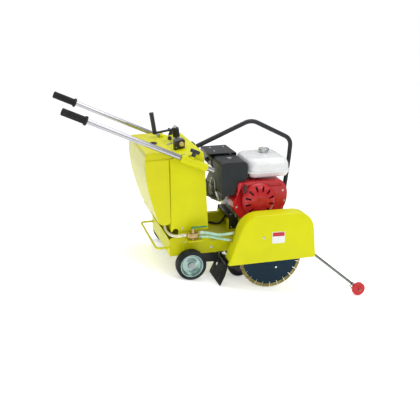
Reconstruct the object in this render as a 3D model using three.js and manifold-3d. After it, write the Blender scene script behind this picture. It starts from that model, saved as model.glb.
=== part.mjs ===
// Walk-behind concrete saw, in millimetres, +Z up.
//
// Every piece is modelled in the chassis' own axes: X forward, Y to the operator's left, Z up, with
// X = 0 at the rear axle and the deck level. The whole machine then leans nose up about the rear
// axle, which is how it stands on its four wheels with the blade raised clear of the ground.

import * as THREE from 'three';
import { mergeVertices } from 'three/addons/utils/BufferGeometryUtils.js';
import Module from 'manifold-3d';

const wasm = await Module();
wasm.setup();

// ---------------------------------------------------------------- driving dimensions

const NOSE_UP = THREE.MathUtils.degToRad(11.6);
const GAP = 0.3;

const AXLE_Z = 77;
const AXLE_RADIUS = 10;
const REAR_WHEEL = { radius: 80, rim: 62, width: 62, y: 295.5 };
const FRONT_WHEEL = { radius: 60, width: 40, x: 300, y: 183 };
// Height at which a front wheel meets the same floor as the rear wheels.
const FLOOR_OFFSET = AXLE_Z * Math.cos(NOSE_UP) - REAR_WHEEL.radius;
const FRONT_AXLE_Z =
  (FLOOR_OFFSET + FRONT_WHEEL.radius - FRONT_WHEEL.x * Math.sin(NOSE_UP)) / Math.cos(NOSE_UP);

const CHASSIS = { rear: -98, front: 650, half: 235, bottom: 109, deck: 172, plate: 4 };
const CONSOLE = { half: 244.5, wall: 2.5, bottom: 248 };
const TANK = { half: 246.5, wall: 6, inset: 9 };

const BLADE = { radius: 175, core: 165, thick: 3.2, y: -340, x: 431, z: 92.6, segments: 24 };
const GUARD = { near: -390.6, far: -294.6, bottom: 84.5, wall: 3, bevel: 10 };
const PULLEY = { y0: 250, y1: 282, blade: 60, engine: 50 };

const ENGINE_SHAFT = { x: 400, z: 375, radius: 12 };
const HANDLE = { y: 266.6, radius: 13.5, slope: -24.65, tip: [133.1, 572], length: 818.5, grip: 122 };
// Lock knob: its place up the sleeve, the boss it screws into, its screw, and its wing.
const LOCK = { up: 133, boss: 28, screw: 5, wing: [52, 14, 18], wingAt: 56 };
const CRANK = { x: 35, y: 140, z: 662, tilt: 8.4, reach: 118, arm: 54, screw: 8 };
const POINTER = { pivot: [690, 72], wheel: [968, -163.2], y: -340, wheelRadius: 38, rod: 7.5 };

// ---------------------------------------------------------------- materials

const finish = (color, roughness, metalness = 0) =>
  new THREE.MeshStandardMaterial({ color, roughness, metalness });
const YELLOW = [0xd9dc1f, 0.4];
const BLACK_PAINT = [0x1c1e22, 0.45];
const BLACK_PLASTIC = [0x202224, 0.55];
const RUBBER = [0x18191a, 0.85];
const CHROME = [0xd8d8dc, 0.15, 1];
const STEEL = [0x9a9ca0, 0.4, 0.9];
const BRASS = [0xb79a5a, 0.35, 0.9];
const RED = [0xb01c20, 0.35];
const WHITE = [0xeef0f0, 0.4];

// ---------------------------------------------------------------- solids

// Manifold solid of a closed three.js geometry.
function solid(geometry) {
  const bare = geometry.clone();
  bare.deleteAttribute('normal');
  bare.deleteAttribute('uv');
  const merged = mergeVertices(bare, 1e-4);
  const index = merged.index.array;
  const triangles = [];
  for (let i = 0; i < index.length; i += 3) {
    const [a, b, c] = [index[i], index[i + 1], index[i + 2]];
    if (a !== b && b !== c && c !== a) triangles.push(a, b, c);
  }
  return new wasm.Manifold(new wasm.Mesh({
    numProp: 3,
    vertProperties: new Float32Array(merged.attributes.position.array),
    triVerts: new Uint32Array(triangles),
  }));
}

// three.js geometry of a manifold solid.
function surface(manifold) {
  const mesh = manifold.getMesh();
  const geometry = new THREE.BufferGeometry();
  geometry.setAttribute('position', new THREE.BufferAttribute(new Float32Array(mesh.vertProperties), 3));
  geometry.setIndex(new THREE.BufferAttribute(new Uint32Array(mesh.triVerts), 1));
  geometry.computeVertexNormals();
  return geometry;
}

const join = (first, ...rest) => surface(rest.reduce((sum, part) => sum.add(solid(part)), solid(first)));
const cut = (body, ...tools) =>
  surface(tools.reduce((rest, tool) => rest.subtract(solid(tool)), solid(body)));

function block([x0, x1], [y0, y1], [z0, z1]) {
  const geometry = new THREE.BoxGeometry(x1 - x0, y1 - y0, z1 - z0);
  return geometry.translate((x0 + x1) / 2, (y0 + y1) / 2, (z0 + z1) / 2);
}

// A closed outline in the XZ plane. A point's third number rounds that corner.
function outline(points) {
  const shape = new THREE.Shape();
  points.forEach(([x, z, round = 0], i) => {
    const here = new THREE.Vector2(x, z);
    const before = new THREE.Vector2(...points.at(i - 1).slice(0, 2));
    const after = new THREE.Vector2(...points[(i + 1) % points.length].slice(0, 2));
    const start = here.clone().add(before.sub(here).setLength(round));
    const end = here.clone().add(after.sub(here).setLength(round));
    if (i === 0) shape.moveTo(start.x, start.y);
    else shape.lineTo(start.x, start.y);
    if (round > 0) shape.quadraticCurveTo(here.x, here.y, end.x, end.y);
  });
  shape.closePath();
  return shape;
}

// An XZ outline drawn out across the machine from y0 to y1, with an optional bevelled edge.
function across(points, [y0, y1], { bevel = 0, corner = 3 } = {}) {
  const geometry = new THREE.ExtrudeGeometry(outline(points), {
    depth: y1 - y0 - 2 * bevel,
    curveSegments: corner,
    bevelEnabled: bevel > 0,
    bevelThickness: bevel,
    bevelSize: bevel,
    bevelOffset: -bevel,
    bevelSegments: 2,
  });
  return geometry.rotateX(Math.PI / 2).translate(0, y1 - bevel, 0);
}

// A round bar between two points.
function rod(from, to, radius, sides = 16) {
  const [a, b] = [new THREE.Vector3(...from), new THREE.Vector3(...to)];
  const geometry = new THREE.CylinderGeometry(radius, radius, a.distanceTo(b), sides);
  const turn = new THREE.Quaternion().setFromUnitVectors(new THREE.Vector3(0, 1, 0),
    b.clone().sub(a).normalize());
  return geometry.applyQuaternion(turn).translate(...a.add(b).multiplyScalar(0.5).toArray());
}

// A round bar across the machine at one X and Z.
const crossRod = ([x, z], [y0, y1], radius, sides = 20) => rod([x, y0, z], [x, y1, z], radius, sides);

// A body of revolution about the local Y axis from [radius, along] pairs.
const turned = (profile, segments = 32) =>
  new THREE.LatheGeometry(profile.map((p) => new THREE.Vector2(...p)), segments);

// A line through points with every inner corner rounded.
function bentLine(points, bend) {
  const path = new THREE.CurvePath();
  const corners = points.map((p) => new THREE.Vector3(...p));
  let start = corners[0];
  for (let i = 1; i < corners.length - 1; i += 1) {
    const before = corners[i].clone().add(corners[i - 1].clone().sub(corners[i]).setLength(bend));
    const after = corners[i].clone().add(corners[i + 1].clone().sub(corners[i]).setLength(bend));
    path.add(new THREE.LineCurve3(start, before));
    path.add(new THREE.QuadraticBezierCurve3(before, corners[i], after));
    start = after;
  }
  path.add(new THREE.LineCurve3(start, corners.at(-1)));
  return path;
}

// A round bar, tube or hose along a curve.
function drawn(curve, radius, steps, sides = 10) {
  const section = new THREE.Shape();
  section.absarc(0, 0, radius, 0, 2 * Math.PI);
  const options = { extrudePath: curve, steps, curveSegments: sides / 2, bevelEnabled: false };
  return new THREE.ExtrudeGeometry(section, options);
}

const hoseLine = (points) =>
  new THREE.CatmullRomCurve3(points.map((p) => new THREE.Vector3(...p)), false, 'centripetal');

// ---------------------------------------------------------------- scene

const machine = new THREE.Group();
machine.name = 'machine';

function add(name, geometry, look, parent = machine) {
  const mesh = new THREE.Mesh(geometry, finish(...look));
  mesh.name = name;
  parent.add(mesh);
  return mesh;
}

// Builds the same piece for the right (-1) and left (+1) side.
function bothSides(build) {
  build('right', -1);
  build('left', 1);
}

const sideSpan = (side, inner, outer) => (side < 0 ? [-outer, -inner] : [inner, outer]);

// ---------------------------------------------------------------- chassis

function chassisTray() {
  const { rear, front, half, bottom, deck, plate } = CHASSIS;
  const outer = block([rear, front], [-half, half], [bottom, deck]);
  const inner = block([rear + plate, front - plate], [plate - half, half - plate],
    [bottom - 20, deck - plate]);
  return cut(outer, inner);
}

function chassisSide(side) {
  const { rear, half, plate, deck } = CHASSIS;
  const raised = [[rear, deck - 12], [rear, 212, 15], [112, 212, 10], [130, deck - 12]];
  const lug = [[-34, 115], [-14, 54, 10], [14, 54, 10], [34, 115]];
  const post = [[-50, deck - 3], [-50, 300, 6], [70, 300, 6], [70, deck - 3]];
  return [
    across(raised, sideSpan(side, half - plate, half)),
    cut(across(lug, sideSpan(side, half - 8, half)),
      crossRod([0, AXLE_Z], sideSpan(side, half - 12, half + 4), AXLE_RADIUS + GAP)),
    across(post, sideSpan(side, 226, 230)),
  ];
}

function rearPanel() {
  const { rear, half, plate, deck } = CHASSIS;
  const profile = [[rear, deck - 6], [rear, 192], [-150, 283], [-146.5, 285], [rear + plate, 193],
    [rear + plate, deck - 6]];
  return across(profile, [plate - half, half - plate]);
}

// Upright and spacer tube that carry the blade guard.
function guardStay() {
  const upright = [[345, 160], [352, 246, 10], [392, 246, 10], [399, 160]];
  return [
    across(upright, [-CHASSIS.half, CHASSIS.plate - CHASSIS.half]),
    crossRod([372, 222], [GUARD.far + GAP, 1 - CHASSIS.half], 15, 20),
  ];
}

// Two ears at the front that hold the pointer's cross tube.
function pointerEars() {
  const [x, z] = POINTER.pivot;
  const ear = [[CHASSIS.front - 2, 112], [CHASSIS.front - 2, 168], [x + 4, 100, 12], [x + 16, z - 18, 12],
    [x - 14, z - 18, 12]];
  const spans = [[-233, -227], [-211, -205]];
  return spans.map((span) => cut(across(ear, span), crossRod([x, z], [span[0] - 2, span[1] + 2], 8 + GAP)));
}

function valveShelf() {
  return [
    block([-14, 66], [-300, -234], [203, 207]),
    across([[-14, 205], [66, 205], [66, 180, 8], [-14, 180, 8]], [-238, -234]),
  ];
}

// Hole in the deck for the depth screw, on the screw's own axis.
function screwClearance() {
  return rod(screwPoint(-520), screwPoint(-430), CRANK.screw + 8, 20);
}

// Point on the depth screw's axis, at a distance up from the control panel.
function screwPoint(along) {
  const tilt = THREE.MathUtils.degToRad(CRANK.tilt);
  return [CRANK.x - along * Math.sin(tilt), CRANK.y, CRANK.z + along * Math.cos(tilt)];
}

function chassisFrame() {
  const pieces = [...chassisSide(-1), ...chassisSide(1), rearPanel(), ...guardStay(), ...pointerEars(),
    ...valveShelf()];
  return cut(join(chassisTray(), ...pieces), screwClearance());
}

function rearAxle() {
  return crossRod([0, AXLE_Z], [-325, 325], AXLE_RADIUS);
}

function rearBar() {
  const [z, half, out] = [155.5, 221.5, -167.8];
  const start = CHASSIS.rear - GAP;
  const line = bentLine([[start, -half, z], [out, -half, z], [out, half, z], [start, half, z]], 22);
  return drawn(line, 6, 34, 8);
}

function liftingBar() {
  const points = [[100, 0, 636.5], [426, 0, 772], [664, 0, 651], [655, 0, 540], [610, 0, CHASSIS.deck + 6]];
  const foot = block([580, 640], [-30, 30], [CHASSIS.deck + GAP, CHASSIS.deck + 8]);
  const flange = across([[91, 612], [89.6, 664], [97.6, 664], [99, 612]], [-30, 30]);
  return join(drawn(bentLine(points, 40), 12.5, 40, 10), foot, flange);
}

function mudFlap() {
  const back = [[181, 105], [174.5, 88], [173.5, 58], [161, 20], [136, -31]];
  const front = [[141, -31], [166, 20], [178.5, 58], [179.5, 88], [185.5, 105]];
  const armSlot = block([100, 220], [-226, -200], [22, 120]);
  return cut(across([...back, ...front], [-372, -166]), armSlot);
}

// ---------------------------------------------------------------- console and tank

const consoleSide = (wall) => [
  [-90.5 + wall, CONSOLE.bottom - 40 * Math.sign(wall)], [-90.5 + wall, 641 - wall],
  [-61 + wall, 643 - wall, 6], [85 - wall, 669 - 1.1 * wall, 5], [92 - wall, 600, 4],
  [110.5 - wall, CONSOLE.bottom - 40 * Math.sign(wall)],
];

function consoleShell() {
  const { half, wall, bottom } = CONSOLE;
  const shell = across(consoleSide(0), [-half, half], { corner: 4 });
  const room = across(consoleSide(wall), [wall - half, half - wall], { corner: 4 });
  const hoseNotch = crossRod([-68, bottom], [-half - 5, wall - half + 5], 17);
  const crankHole = rod(screwPoint(-20), screwPoint(20), CRANK.screw + 4, 20);
  const leverSlot = block([-32, 32], [55, 63], [630, 690]);
  return cut(shell, room, hoseNotch, crankHole, leverSlot);
}

const tankSide = (wall) => [
  [-92.5 - wall, 291 + wall], [-92.5 - wall, 644 - wall], [-66 - wall, 650 - wall],
  [-66 - wall, 676 - wall, 14], [-218 + wall, 676 - wall, 20], [-222 + wall, 600], [-216 + wall, 540],
  [-205 + wall, 472], [-186 + wall, 400], [-153 + wall, 291 + wall, 8],
];

const FILLER = { x: -133, y: -28, top: 676, radius: 15 };

// Blow-moulded tank, its upper part set in from the sides, with an open filler neck.
function waterTank() {
  const { half, wall, inset } = TANK;
  const body = across(tankSide(0), [-half, half], { corner: 4 });
  const shoulders = [-1, 1].map((side) =>
    block([-240, -40], sideSpan(side, half - inset, half + 5), [637, 700]));
  const room = across(tankSide(wall), [wall + inset - half, half - wall - inset], { corner: 4 });
  const { x, y, top, radius } = FILLER;
  const collar = rod([x, y, top - 8], [x, y, top + 2], radius + 4, 24);
  const mouth = rod([x, y, top - 40], [x, y, top + 20], radius, 24);
  return cut(join(cut(body, ...shoulders, room), collar), mouth);
}

function fillerCap() {
  const { x, y, top, radius } = FILLER;
  const skirt = rod([x, y, top - 12], [x, y, top + 4], radius - 1, 24);
  const head = rod([x, y, top + 2 + GAP], [x, y, top + 7], radius + 6, 24);
  const wing = block([x - 13, x + 13], [y - 3, y + 3], [top + 6, top + 11]);
  return join(skirt, head, wing);
}

function switchBox() {
  const points = [[-30, 650], [-30, 697, 7], [26, 706, 7], [26, 661]];
  const socket = rod([6, -95, 682], [6, -80, 682], 12 + GAP, 24);
  return cut(across(points, [-92, -50], { bevel: 3, corner: 3 }), consoleClearance(), socket);
}

// Everything below the control panel's surface, used to seat pieces on it.
function consoleClearance() {
  return across([[-61, 600], [-61, 643 + GAP], [85, 669 + GAP], [95, 600]], [-250, 250]);
}

function stopButton() {
  return rod([6, -88, 682], [6, -106, 682], 12, 24);
}

function throttleLever() {
  const lever = rod([-6, 59, 634], [-22, 59, 680], 3.5, 10);
  const ball = new THREE.SphereGeometry(12, 14, 10).translate(-23, 59, 683);
  const hub = crossRod([-6, 634], [53, 65], 10, 16);
  return join(lever, ball, hub);
}

// ---------------------------------------------------------------- handles

const slope = THREE.MathUtils.degToRad(HANDLE.slope);

// Point beside a handle's centre line: a distance up the tube from its lower tip, and off it.
function handlePoint(side, up, off = 0) {
  const [x, z] = HANDLE.tip;
  return [x - up * Math.cos(slope) - off * Math.sin(slope), side * HANDLE.y,
    z - up * Math.sin(slope) + off * Math.cos(slope)];
}

function handleSleeve(side) {
  const bore = rod(handlePoint(side, 20), handlePoint(side, 230), HANDLE.radius + GAP, 20);
  const sleeve = rod(handlePoint(side, 40), handlePoint(side, 190), 20.5, 20);
  const boss = rod(handlePoint(side, LOCK.up, 12), handlePoint(side, LOCK.up, LOCK.boss), 11, 16);
  const thread = rod(handlePoint(side, LOCK.up, 0), handlePoint(side, LOCK.up, LOCK.boss + 4),
    LOCK.screw + GAP, 16);
  return cut(join(sleeve, boss), bore, thread);
}

function handleTube(side) {
  return rod(handlePoint(side, 0), handlePoint(side, HANDLE.length), HANDLE.radius, 24);
}

function handleGrip(side) {
  const end = HANDLE.length;
  const bore = rod(handlePoint(side, end - HANDLE.grip - 10), handlePoint(side, end + GAP),
    HANDLE.radius + GAP, 24);
  const barrel = rod(handlePoint(side, end - HANDLE.grip), handlePoint(side, end + 6), 19, 24);
  const flange = rod(handlePoint(side, end - HANDLE.grip), handlePoint(side, end - HANDLE.grip + 12), 24, 24);
  return cut(join(barrel, flange), bore);
}

function lockKnob(side) {
  const [length, width, height] = LOCK.wing;
  const along = (off) => handlePoint(side, LOCK.up, off);
  const stem = rod(along(HANDLE.radius + 1), along(LOCK.boss + 12), LOCK.screw, 16);
  const hub = rod(along(LOCK.boss + GAP), along(LOCK.wingAt), 11, 20);
  const wing = new THREE.BoxGeometry(length, width, height).rotateY(-slope).translate(...along(LOCK.wingAt));
  return join(stem, hub, wing);
}

// ---------------------------------------------------------------- depth crank and carriage

function depthCrank() {
  const tilt = THREE.MathUtils.degToRad(CRANK.tilt);
  const hub = rod(screwPoint(8), screwPoint(CRANK.arm + 8), 20, 24);
  const cap = rod(screwPoint(CRANK.arm + 6), screwPoint(CRANK.arm + 20), 9, 16);
  const arm = new THREE.BoxGeometry(CRANK.reach + 24, 22, 8).translate(-CRANK.reach / 2, 0, 0).rotateY(-tilt);
  arm.translate(...screwPoint(CRANK.arm));
  return join(hub, cap, arm, crankPin(3, 112, 6));
}

// Round bar along the crank's handle axis, from one height to another above the arm.
function crankPin(from, to, radius) {
  const tilt = THREE.MathUtils.degToRad(CRANK.tilt);
  const [x, y, z] = screwPoint(CRANK.arm);
  const end = [x - CRANK.reach * Math.cos(tilt), y, z - CRANK.reach * Math.sin(tilt)];
  const at = (h) => [end[0] - h * Math.sin(tilt), y, end[2] + h * Math.cos(tilt)];
  return rod(at(from), at(to), radius, 20);
}

function crankGrip() {
  return cut(crankPin(6, 116, 13), crankPin(0, 112 + GAP, 6 + GAP));
}

function depthScrew() {
  return rod(screwPoint(-640), screwPoint(8 - GAP), CRANK.screw, 20);
}

function carriageFrame() {
  const { x, width, y } = FRONT_WHEEL;
  const arm = [[-26, 62, 14], [-22, 100, 14], [150, 101, 20], [245, 66, 20], [x + 24, FRONT_AXLE_Z + 12, 14],
    [x + 8, FRONT_AXLE_Z - 24, 14], [x - 22, FRONT_AXLE_Z - 14, 12], [155, 47, 20], [20, 52, 14]];
  const inner = y + width / 2 + 6;
  const arms = [-1, 1].map((side) => across(arm, sideSpan(side, inner, inner + 8)));
  const nutBar = block([103, 155], [-inner - 2, inner + 2], [56, 80]);
  const axle = crossRod([x, FRONT_AXLE_Z], [-inner - 12, inner + 12], AXLE_RADIUS);
  const pivot = crossRod([0, AXLE_Z], [-inner - 12, inner + 12], AXLE_RADIUS + GAP);
  const nutHole = rod(screwPoint(-640), screwPoint(-540), CRANK.screw + 7, 20);
  return cut(join(arms[0], arms[1], nutBar, axle), pivot, nutHole);
}

// ---------------------------------------------------------------- wheels

const tyreProfile = ({ radius, rim, width }) => {
  const h = width / 2;
  return [[rim, -h + 4], [radius - 8, -h], [radius, -h + 8], [radius, h - 8], [radius - 8, h], [rim, h - 4],
    [rim, -h + 4]];
};

const rimProfile = ({ rim, width }) => {
  const [h, edge, bore] = [width / 2 - 4, rim - GAP, AXLE_RADIUS + GAP];
  return [[bore, -22], [19, -22], [19, -7], [edge - 9, -6], [edge - 4, -h], [edge, -h],
    [edge, h], [edge - 4, h], [edge - 9, 6], [19, 7], [19, 22], [bore, 22], [bore, -22]];
};

// Turns a faceted wheel so that it stands on a flat, and sizes it so that the flats are at its true radius.
function standOnFlat(wheel, segments) {
  const grow = 1 / Math.cos(Math.PI / segments);
  return wheel.rotateY(NOSE_UP + Math.PI / segments).scale(grow, 1, grow);
}

function rearTyre() {
  const segments = 32;
  return standOnFlat(turned(tyreProfile(REAR_WHEEL), segments), segments);
}

function frontWheel() {
  const { radius, width } = FRONT_WHEEL;
  const [h, bore, segments] = [width / 2, AXLE_RADIUS + GAP, 24];
  const profile = [[bore, -h - 3], [22, -h - 3], [22, -h + 2], [radius - 4, -h], [radius, -h + 4],
    [radius, h - 4], [radius - 4, h], [22, h - 2], [22, h + 3], [bore, h + 3], [bore, -h - 3]];
  return standOnFlat(turned(profile, segments), segments);
}

// ---------------------------------------------------------------- blade drive

// Diamond blade with a slot between every two rim segments.
function sawBlade() {
  const { radius, core, thick, segments } = BLADE;
  const disc = turned([[13, -thick / 2], [radius, -thick / 2], [radius, thick / 2], [13, thick / 2],
    [13, -thick / 2]], 48);
  const slot = new THREE.BoxGeometry(26, 10, 3).translate(core + 1, 0, 0);
  const slots = Array.from({ length: segments }, (_, i) =>
    slot.clone().rotateY((i / segments) * 2 * Math.PI));
  return cut(disc, ...slots);
}

// Everything on the arbor lies on one axis; along is measured across the machine.
function arborFlange() {
  const seat = -BLADE.thick / 2 - GAP;
  return turned([[0, -23], [14, -23], [14, -10], [50, -8], [52, -2], [30, -2], [30, seat], [0, seat]], 32);
}

function arborShaft() {
  const [bladeEnd, pulleyEnd] = [BLADE.y, PULLEY.y1 + 4];
  const length = pulleyEnd - bladeEnd;
  return turned([[0, -1.4], [12.5, -1.4], [12.5, 1.9], [30, 1.9], [30, 2], [52, 2], [50, 8], [22, 12],
    [22, 30], [15, 30], [15, length], [0, length]], 24);
}

function pulley(radius, bore) {
  const h = (PULLEY.y1 - PULLEY.y0) / 2;
  return turned([[bore, -h], [radius, -h], [radius, -h + 3], [radius - 9, -h + 12], [radius - 9, h - 12],
    [radius, h - 3], [radius, h], [bore, h], [bore, -h]], 24);
}

function arborBearing(side) {
  const { x, z } = BLADE;
  const span = sideSpan(side, 196, 224);
  const housing = across([[x - 46, 168 - GAP], [x - 34, z - 30, 16], [x + 34, z - 30, 16],
    [x + 46, 168 - GAP]], span);
  return cut(housing, crossRod([x, z], [span[0] - 2, span[1] + 2], 15 + GAP));
}

// Closed belt round both pulleys: the outline of two circles and their outer tangents.
function beltOutline(grow) {
  const low = new THREE.Vector2(BLADE.x, BLADE.z);
  const high = new THREE.Vector2(ENGINE_SHAFT.x, ENGINE_SHAFT.z);
  const [r0, r1] = [PULLEY.blade - 9 + grow, PULLEY.engine - 9 + grow];
  const axis = high.clone().sub(low);
  const lean = Math.atan2(axis.y, axis.x);
  const wrap = Math.acos((r0 - r1) / axis.length());
  const shape = new THREE.Shape();
  shape.absarc(high.x, high.y, r1, lean - wrap, lean + wrap);
  shape.absarc(low.x, low.y, r0, lean + wrap, lean - wrap + 2 * Math.PI);
  shape.closePath();
  return shape;
}

function extrudeAcross(shape, [y0, y1], corner = 14) {
  const options = { depth: y1 - y0, curveSegments: corner, bevelEnabled: false };
  const geometry = new THREE.ExtrudeGeometry(shape, options);
  return geometry.rotateX(Math.PI / 2).translate(0, y1, 0);
}

function driveBelt() {
  const span = [PULLEY.y0 + 13, PULLEY.y1 - 13];
  const inside = [span[0] - 2, span[1] + 2];
  return cut(extrudeAcross(beltOutline(8.6), span), extrudeAcross(beltOutline(0.6), inside));
}

// Casing over the belt and pulleys, open towards the machine and bolted flat against the chassis.
function beltCover() {
  const [y0, y1] = [CHASSIS.half + GAP, 302];
  const shell = extrudeAcross(beltOutline(32), [y0, y1], 12);
  return cut(shell, extrudeAcross(beltOutline(28.5), [y0 - 5, y1 - 3], 12));
}

// ---------------------------------------------------------------- engine

function engineMount() {
  const deck = CHASSIS.deck + GAP;
  const rail = (y) => block([262, 540], [y - 16, y + 16], [deck, 244]);
  const tie = block([290, 320], [-100, 100], [deck, 196]);
  const frontTie = block([480, 510], [-100, 100], [deck, 196]);
  const tail = block([150, 264], [76, 108], [deck, 226]);
  return join(rail(-92), rail(92), tail, tie, frontTie);
}

function crankcase() {
  const body = across([[300, 246, 14], [292, 330, 20], [318, 462, 20], [496, 466, 20], [515, 330, 24],
    [505, 246, 14]],
    [-118, 128], { bevel: 8, corner: 4 });
  const feet = block([272, 532], [-112, 112], [244 + GAP, 262]);
  const shaftBoss = crossRod([ENGINE_SHAFT.x, ENGINE_SHAFT.z], [120, 146], 34, 28);
  const shaftHole = crossRod([ENGINE_SHAFT.x, ENGINE_SHAFT.z], [60, 160], ENGINE_SHAFT.radius + GAP, 24);
  return cut(join(body, feet, shaftBoss), shaftHole);
}

// Finned cylinder and head, leaning back and up from the crankcase.
function engineCylinder() {
  const fin = (i) => new THREE.BoxGeometry(4, 128, 138).translate(-22 - i * 10, 0, 0);
  const barrel = new THREE.BoxGeometry(106, 96, 104).translate(-47, 0, 0);
  const head = new THREE.BoxGeometry(26, 120, 126).translate(-94, 0, 0);
  const fins = Array.from({ length: 6 }, (_, i) => fin(i));
  const lean = THREE.MathUtils.degToRad(24);
  const body = join(barrel, head, ...fins).rotateY(lean).translate(288, 46, 372);
  return cut(body, block([292 - GAP, 400], [-60, 150], [250, 500]));
}

function fanCover() {
  const points = [[285, 478, 14], [281, 406, 8], [256, 382, 10], [258, 334, 20], [306, 268, 34],
    [480, 262, 44], [560, 330, 54], [566, 430, 36], [532, 478, 16]];
  const cover = across(points, [-216, -118 - GAP], { bevel: 10, corner: 4 });
  const [wall, middle] = [5, [400, 0, 372]];
  const room = cover.clone().translate(...middle.map((v) => -v)).scale(0.965, 1, 0.955).translate(...middle);
  return cut(cover, room.translate(0, wall, 0));
}

// Starter housing: a shallow dish with a ring of air slots.
function recoilCover() {
  const dish = turned([[0, 27], [38, 27], [56, 24], [78, 17], [89, 6], [90, 0], [96, 0], [92, 8], [80, 20],
    [58, 27], [40, 30], [0, 30]], 24);
  const slot = new THREE.BoxGeometry(30, 20, 6).translate(66, 26, 0);
  const slots = Array.from({ length: 12 }, (_, i) => slot.clone().rotateY((i / 12) * 2 * Math.PI));
  return cut(dish, ...slots).rotateX(Math.PI).translate(ENGINE_SHAFT.x, -216 - GAP, ENGINE_SHAFT.z);
}

function recoilGrip() {
  const handle = rod([318, -232, 470], [318, -232, 424], 8, 16);
  const stem = rod([318, -232, 447], [318, -217, 447], 4, 12);
  return join(handle, stem);
}

const FUEL_CAP = { x: 494, y: -20, top: 590, neck: 20 };

function fuelTank() {
  const top = [[358, 486, 14], [352, 590, 20], [592, 590, 26], [592, 524, 10], [575, 486, 14]];
  const seam = [[347, 517], [347, 522], [597, 522], [597, 517]];
  const body = across(top, [-196, 84], { bevel: 10, corner: 4 });
  const wall = 4;
  const inside = [[358 + wall, 486 + wall, 14], [352 + wall, 590 - wall, 20], [592 - wall, 590 - wall, 26],
    [592 - wall, 524, 10], [575 - wall, 486 + wall, 14]];
  const room = across(inside, [-196 + wall, 84 - wall], { bevel: 10, corner: 4 });
  const { x, y, top: brim, neck } = FUEL_CAP;
  const mouth = rod([x, y, brim - 30], [x, y, brim + 10], neck - 3, 24);
  return cut(join(body, across(seam, [-201, 89])), room, mouth);
}

function fuelCap() {
  const { x, y, top, neck } = FUEL_CAP;
  const post = rod([x, y, top + GAP], [x, y, top + 10], neck, 24);
  const head = rod([x, y, top + 9], [x, y, top + 24], 31, 28);
  return join(post, head);
}

function airCleaner() {
  const points = [[199, 408, 14], [194, 588, 18], [341, 588, 20], [343, 490, 14], [274, 486], [268, 408, 14]];
  return across(points, [-200, -30], { bevel: 6, corner: 4 });
}

const CARBURETTOR = { x: [212, 262], y: [-66, -30], z: [364, 398] };

function carburettor() {
  const { x, y, z } = CARBURETTOR;
  const bowl = rod([237, -48, z[0] + 4], [237, -48, z[0] - 26], 15, 20);
  return join(block(x, y, z), bowl);
}

function chokeLever() {
  const face = CARBURETTOR.y[0] - GAP;
  const pivot = crossRod([240, 381], [face - 26, face], 6, 16);
  const arm = across([[236, 375], [282, 366, 6], [284, 378, 6], [244, 387]], [face - 26, face - 21]);
  return join(pivot, arm);
}

function muffler() {
  const can = across([[196, 512, 20], [196, 584, 20], [318, 584, 20], [318, 512, 20]], [0, 160],
    { bevel: 8, corner: 4 });
  const room = across([[199, 515, 18], [199, 581, 18], [315, 581, 18], [315, 515, 18]], [3, 157],
    { bevel: 7, corner: 4 });
  const pipe = rod([232, 46, 484], [232, 46, 520], 16, 20);
  const outlet = rod([202, 70, 548], [182, 70, 548], 11, 20);
  const bore = rod([214, 70, 548], [178, 70, 548], 8, 20);
  return cut(join(cut(can, room), pipe, outlet), bore);
}

function mufflerShield() {
  const sheet = [[180, 574], [180, 600, 6], [334, 600, 6], [334, 500], [331, 500], [331, 597], [183, 597],
    [183, 574]];
  return across(sheet, [-26, 170]);
}

function engineShaft() {
  const { x, z, radius } = ENGINE_SHAFT;
  const hub = pulley(PULLEY.engine, radius - 2).translate(x, (PULLEY.y0 + PULLEY.y1) / 2, z);
  return join(crossRod([x, z], [70, PULLEY.y1 + 4], radius), hub);
}

// ---------------------------------------------------------------- water supply and cables

function valveBody() {
  const body = across([[-6, 212], [-6, 250, 8], [40, 250, 8], [40, 212]], [-296, -268],
    { bevel: 4, corner: 3 });
  const inlet = rod([-6, -282, 238], [-20, -282, 238], 9, 16);
  const top = rod([17, -282, 248], [17, -282, 272], 8, 16);
  const foot = rod([17, -282, 207 + GAP], [17, -282, 216], 12, 20);
  const outlets = [[248, -288], [222, -276]].map(([z, y]) => rod([38, y, z], [50, y, z], 7, 16));
  return join(body, inlet, top, foot, ...outlets);
}

function valveLever() {
  const hub = rod([17, -282, 272 + GAP], [17, -282, 281], 10, 20);
  const handle = block([17, 92], [-290, -274], [275, 280]);
  return join(hub, handle);
}

const GUARD_HOSE_RADIUS = 7.5;

// Routes of the hoses and the cable, in chassis millimetres.
const SUPPLY_ROUTE = [[-118, -205, 291 - GAP], [-118, -205, 265], [-108, -214, 242], [-88, -240, 230],
  [-66, -266, 232], [-44, -281, 237], [-30, -282, 238], [-20 - GAP, -282, 238]];
const UPPER_ROUTE = [[50 + GAP, -288, 248], [60, -288, 248], [100, -291, 242], [145, -298, 230],
  [188, -306, 231], [218, -311, 235], [229, -312, 236]];
const LOWER_ROUTE = [[50 + GAP, -276, 222], [60, -276, 222], [98, -282, 221], [138, -290, 213],
  [178, -302, 204], [205, -312, 201], [216, -316, 200]];
const CABLE_ROUTE = [[107, -120, 500], [122, -122, 494], [138, -130, 470], [134, -136, 430], [150, -128, 396],
  [178, -100, 381], [200, -58, 378], [210, -48, 378]];

const hose = (route, radius) => drawn(hoseLine(route), radius, 20, 8);

// ---------------------------------------------------------------- blade guard

const guardSide = (inset) => [
  [164 + inset, 40], [277 + inset, 345 - inset, 88], [649 - inset, 341 - inset, 104], [676 - inset, 40],
];

function bladeGuard() {
  const { near, far, bottom, wall, bevel } = GUARD;
  const shell = across(guardSide(0), [near, far], { bevel, corner: 7 });
  const room = across(guardSide(wall), [near + wall, far - wall], { bevel: bevel - 2, corner: 7 });
  const below = block([100, 750], [near - 5, far + 5], [0, bottom]);
  const arborNotch = block([366, 496], [far - 8, far + 4], [40, 152]);
  return cut(shell, room, below, arborNotch);
}

// ---------------------------------------------------------------- pointer

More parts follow.
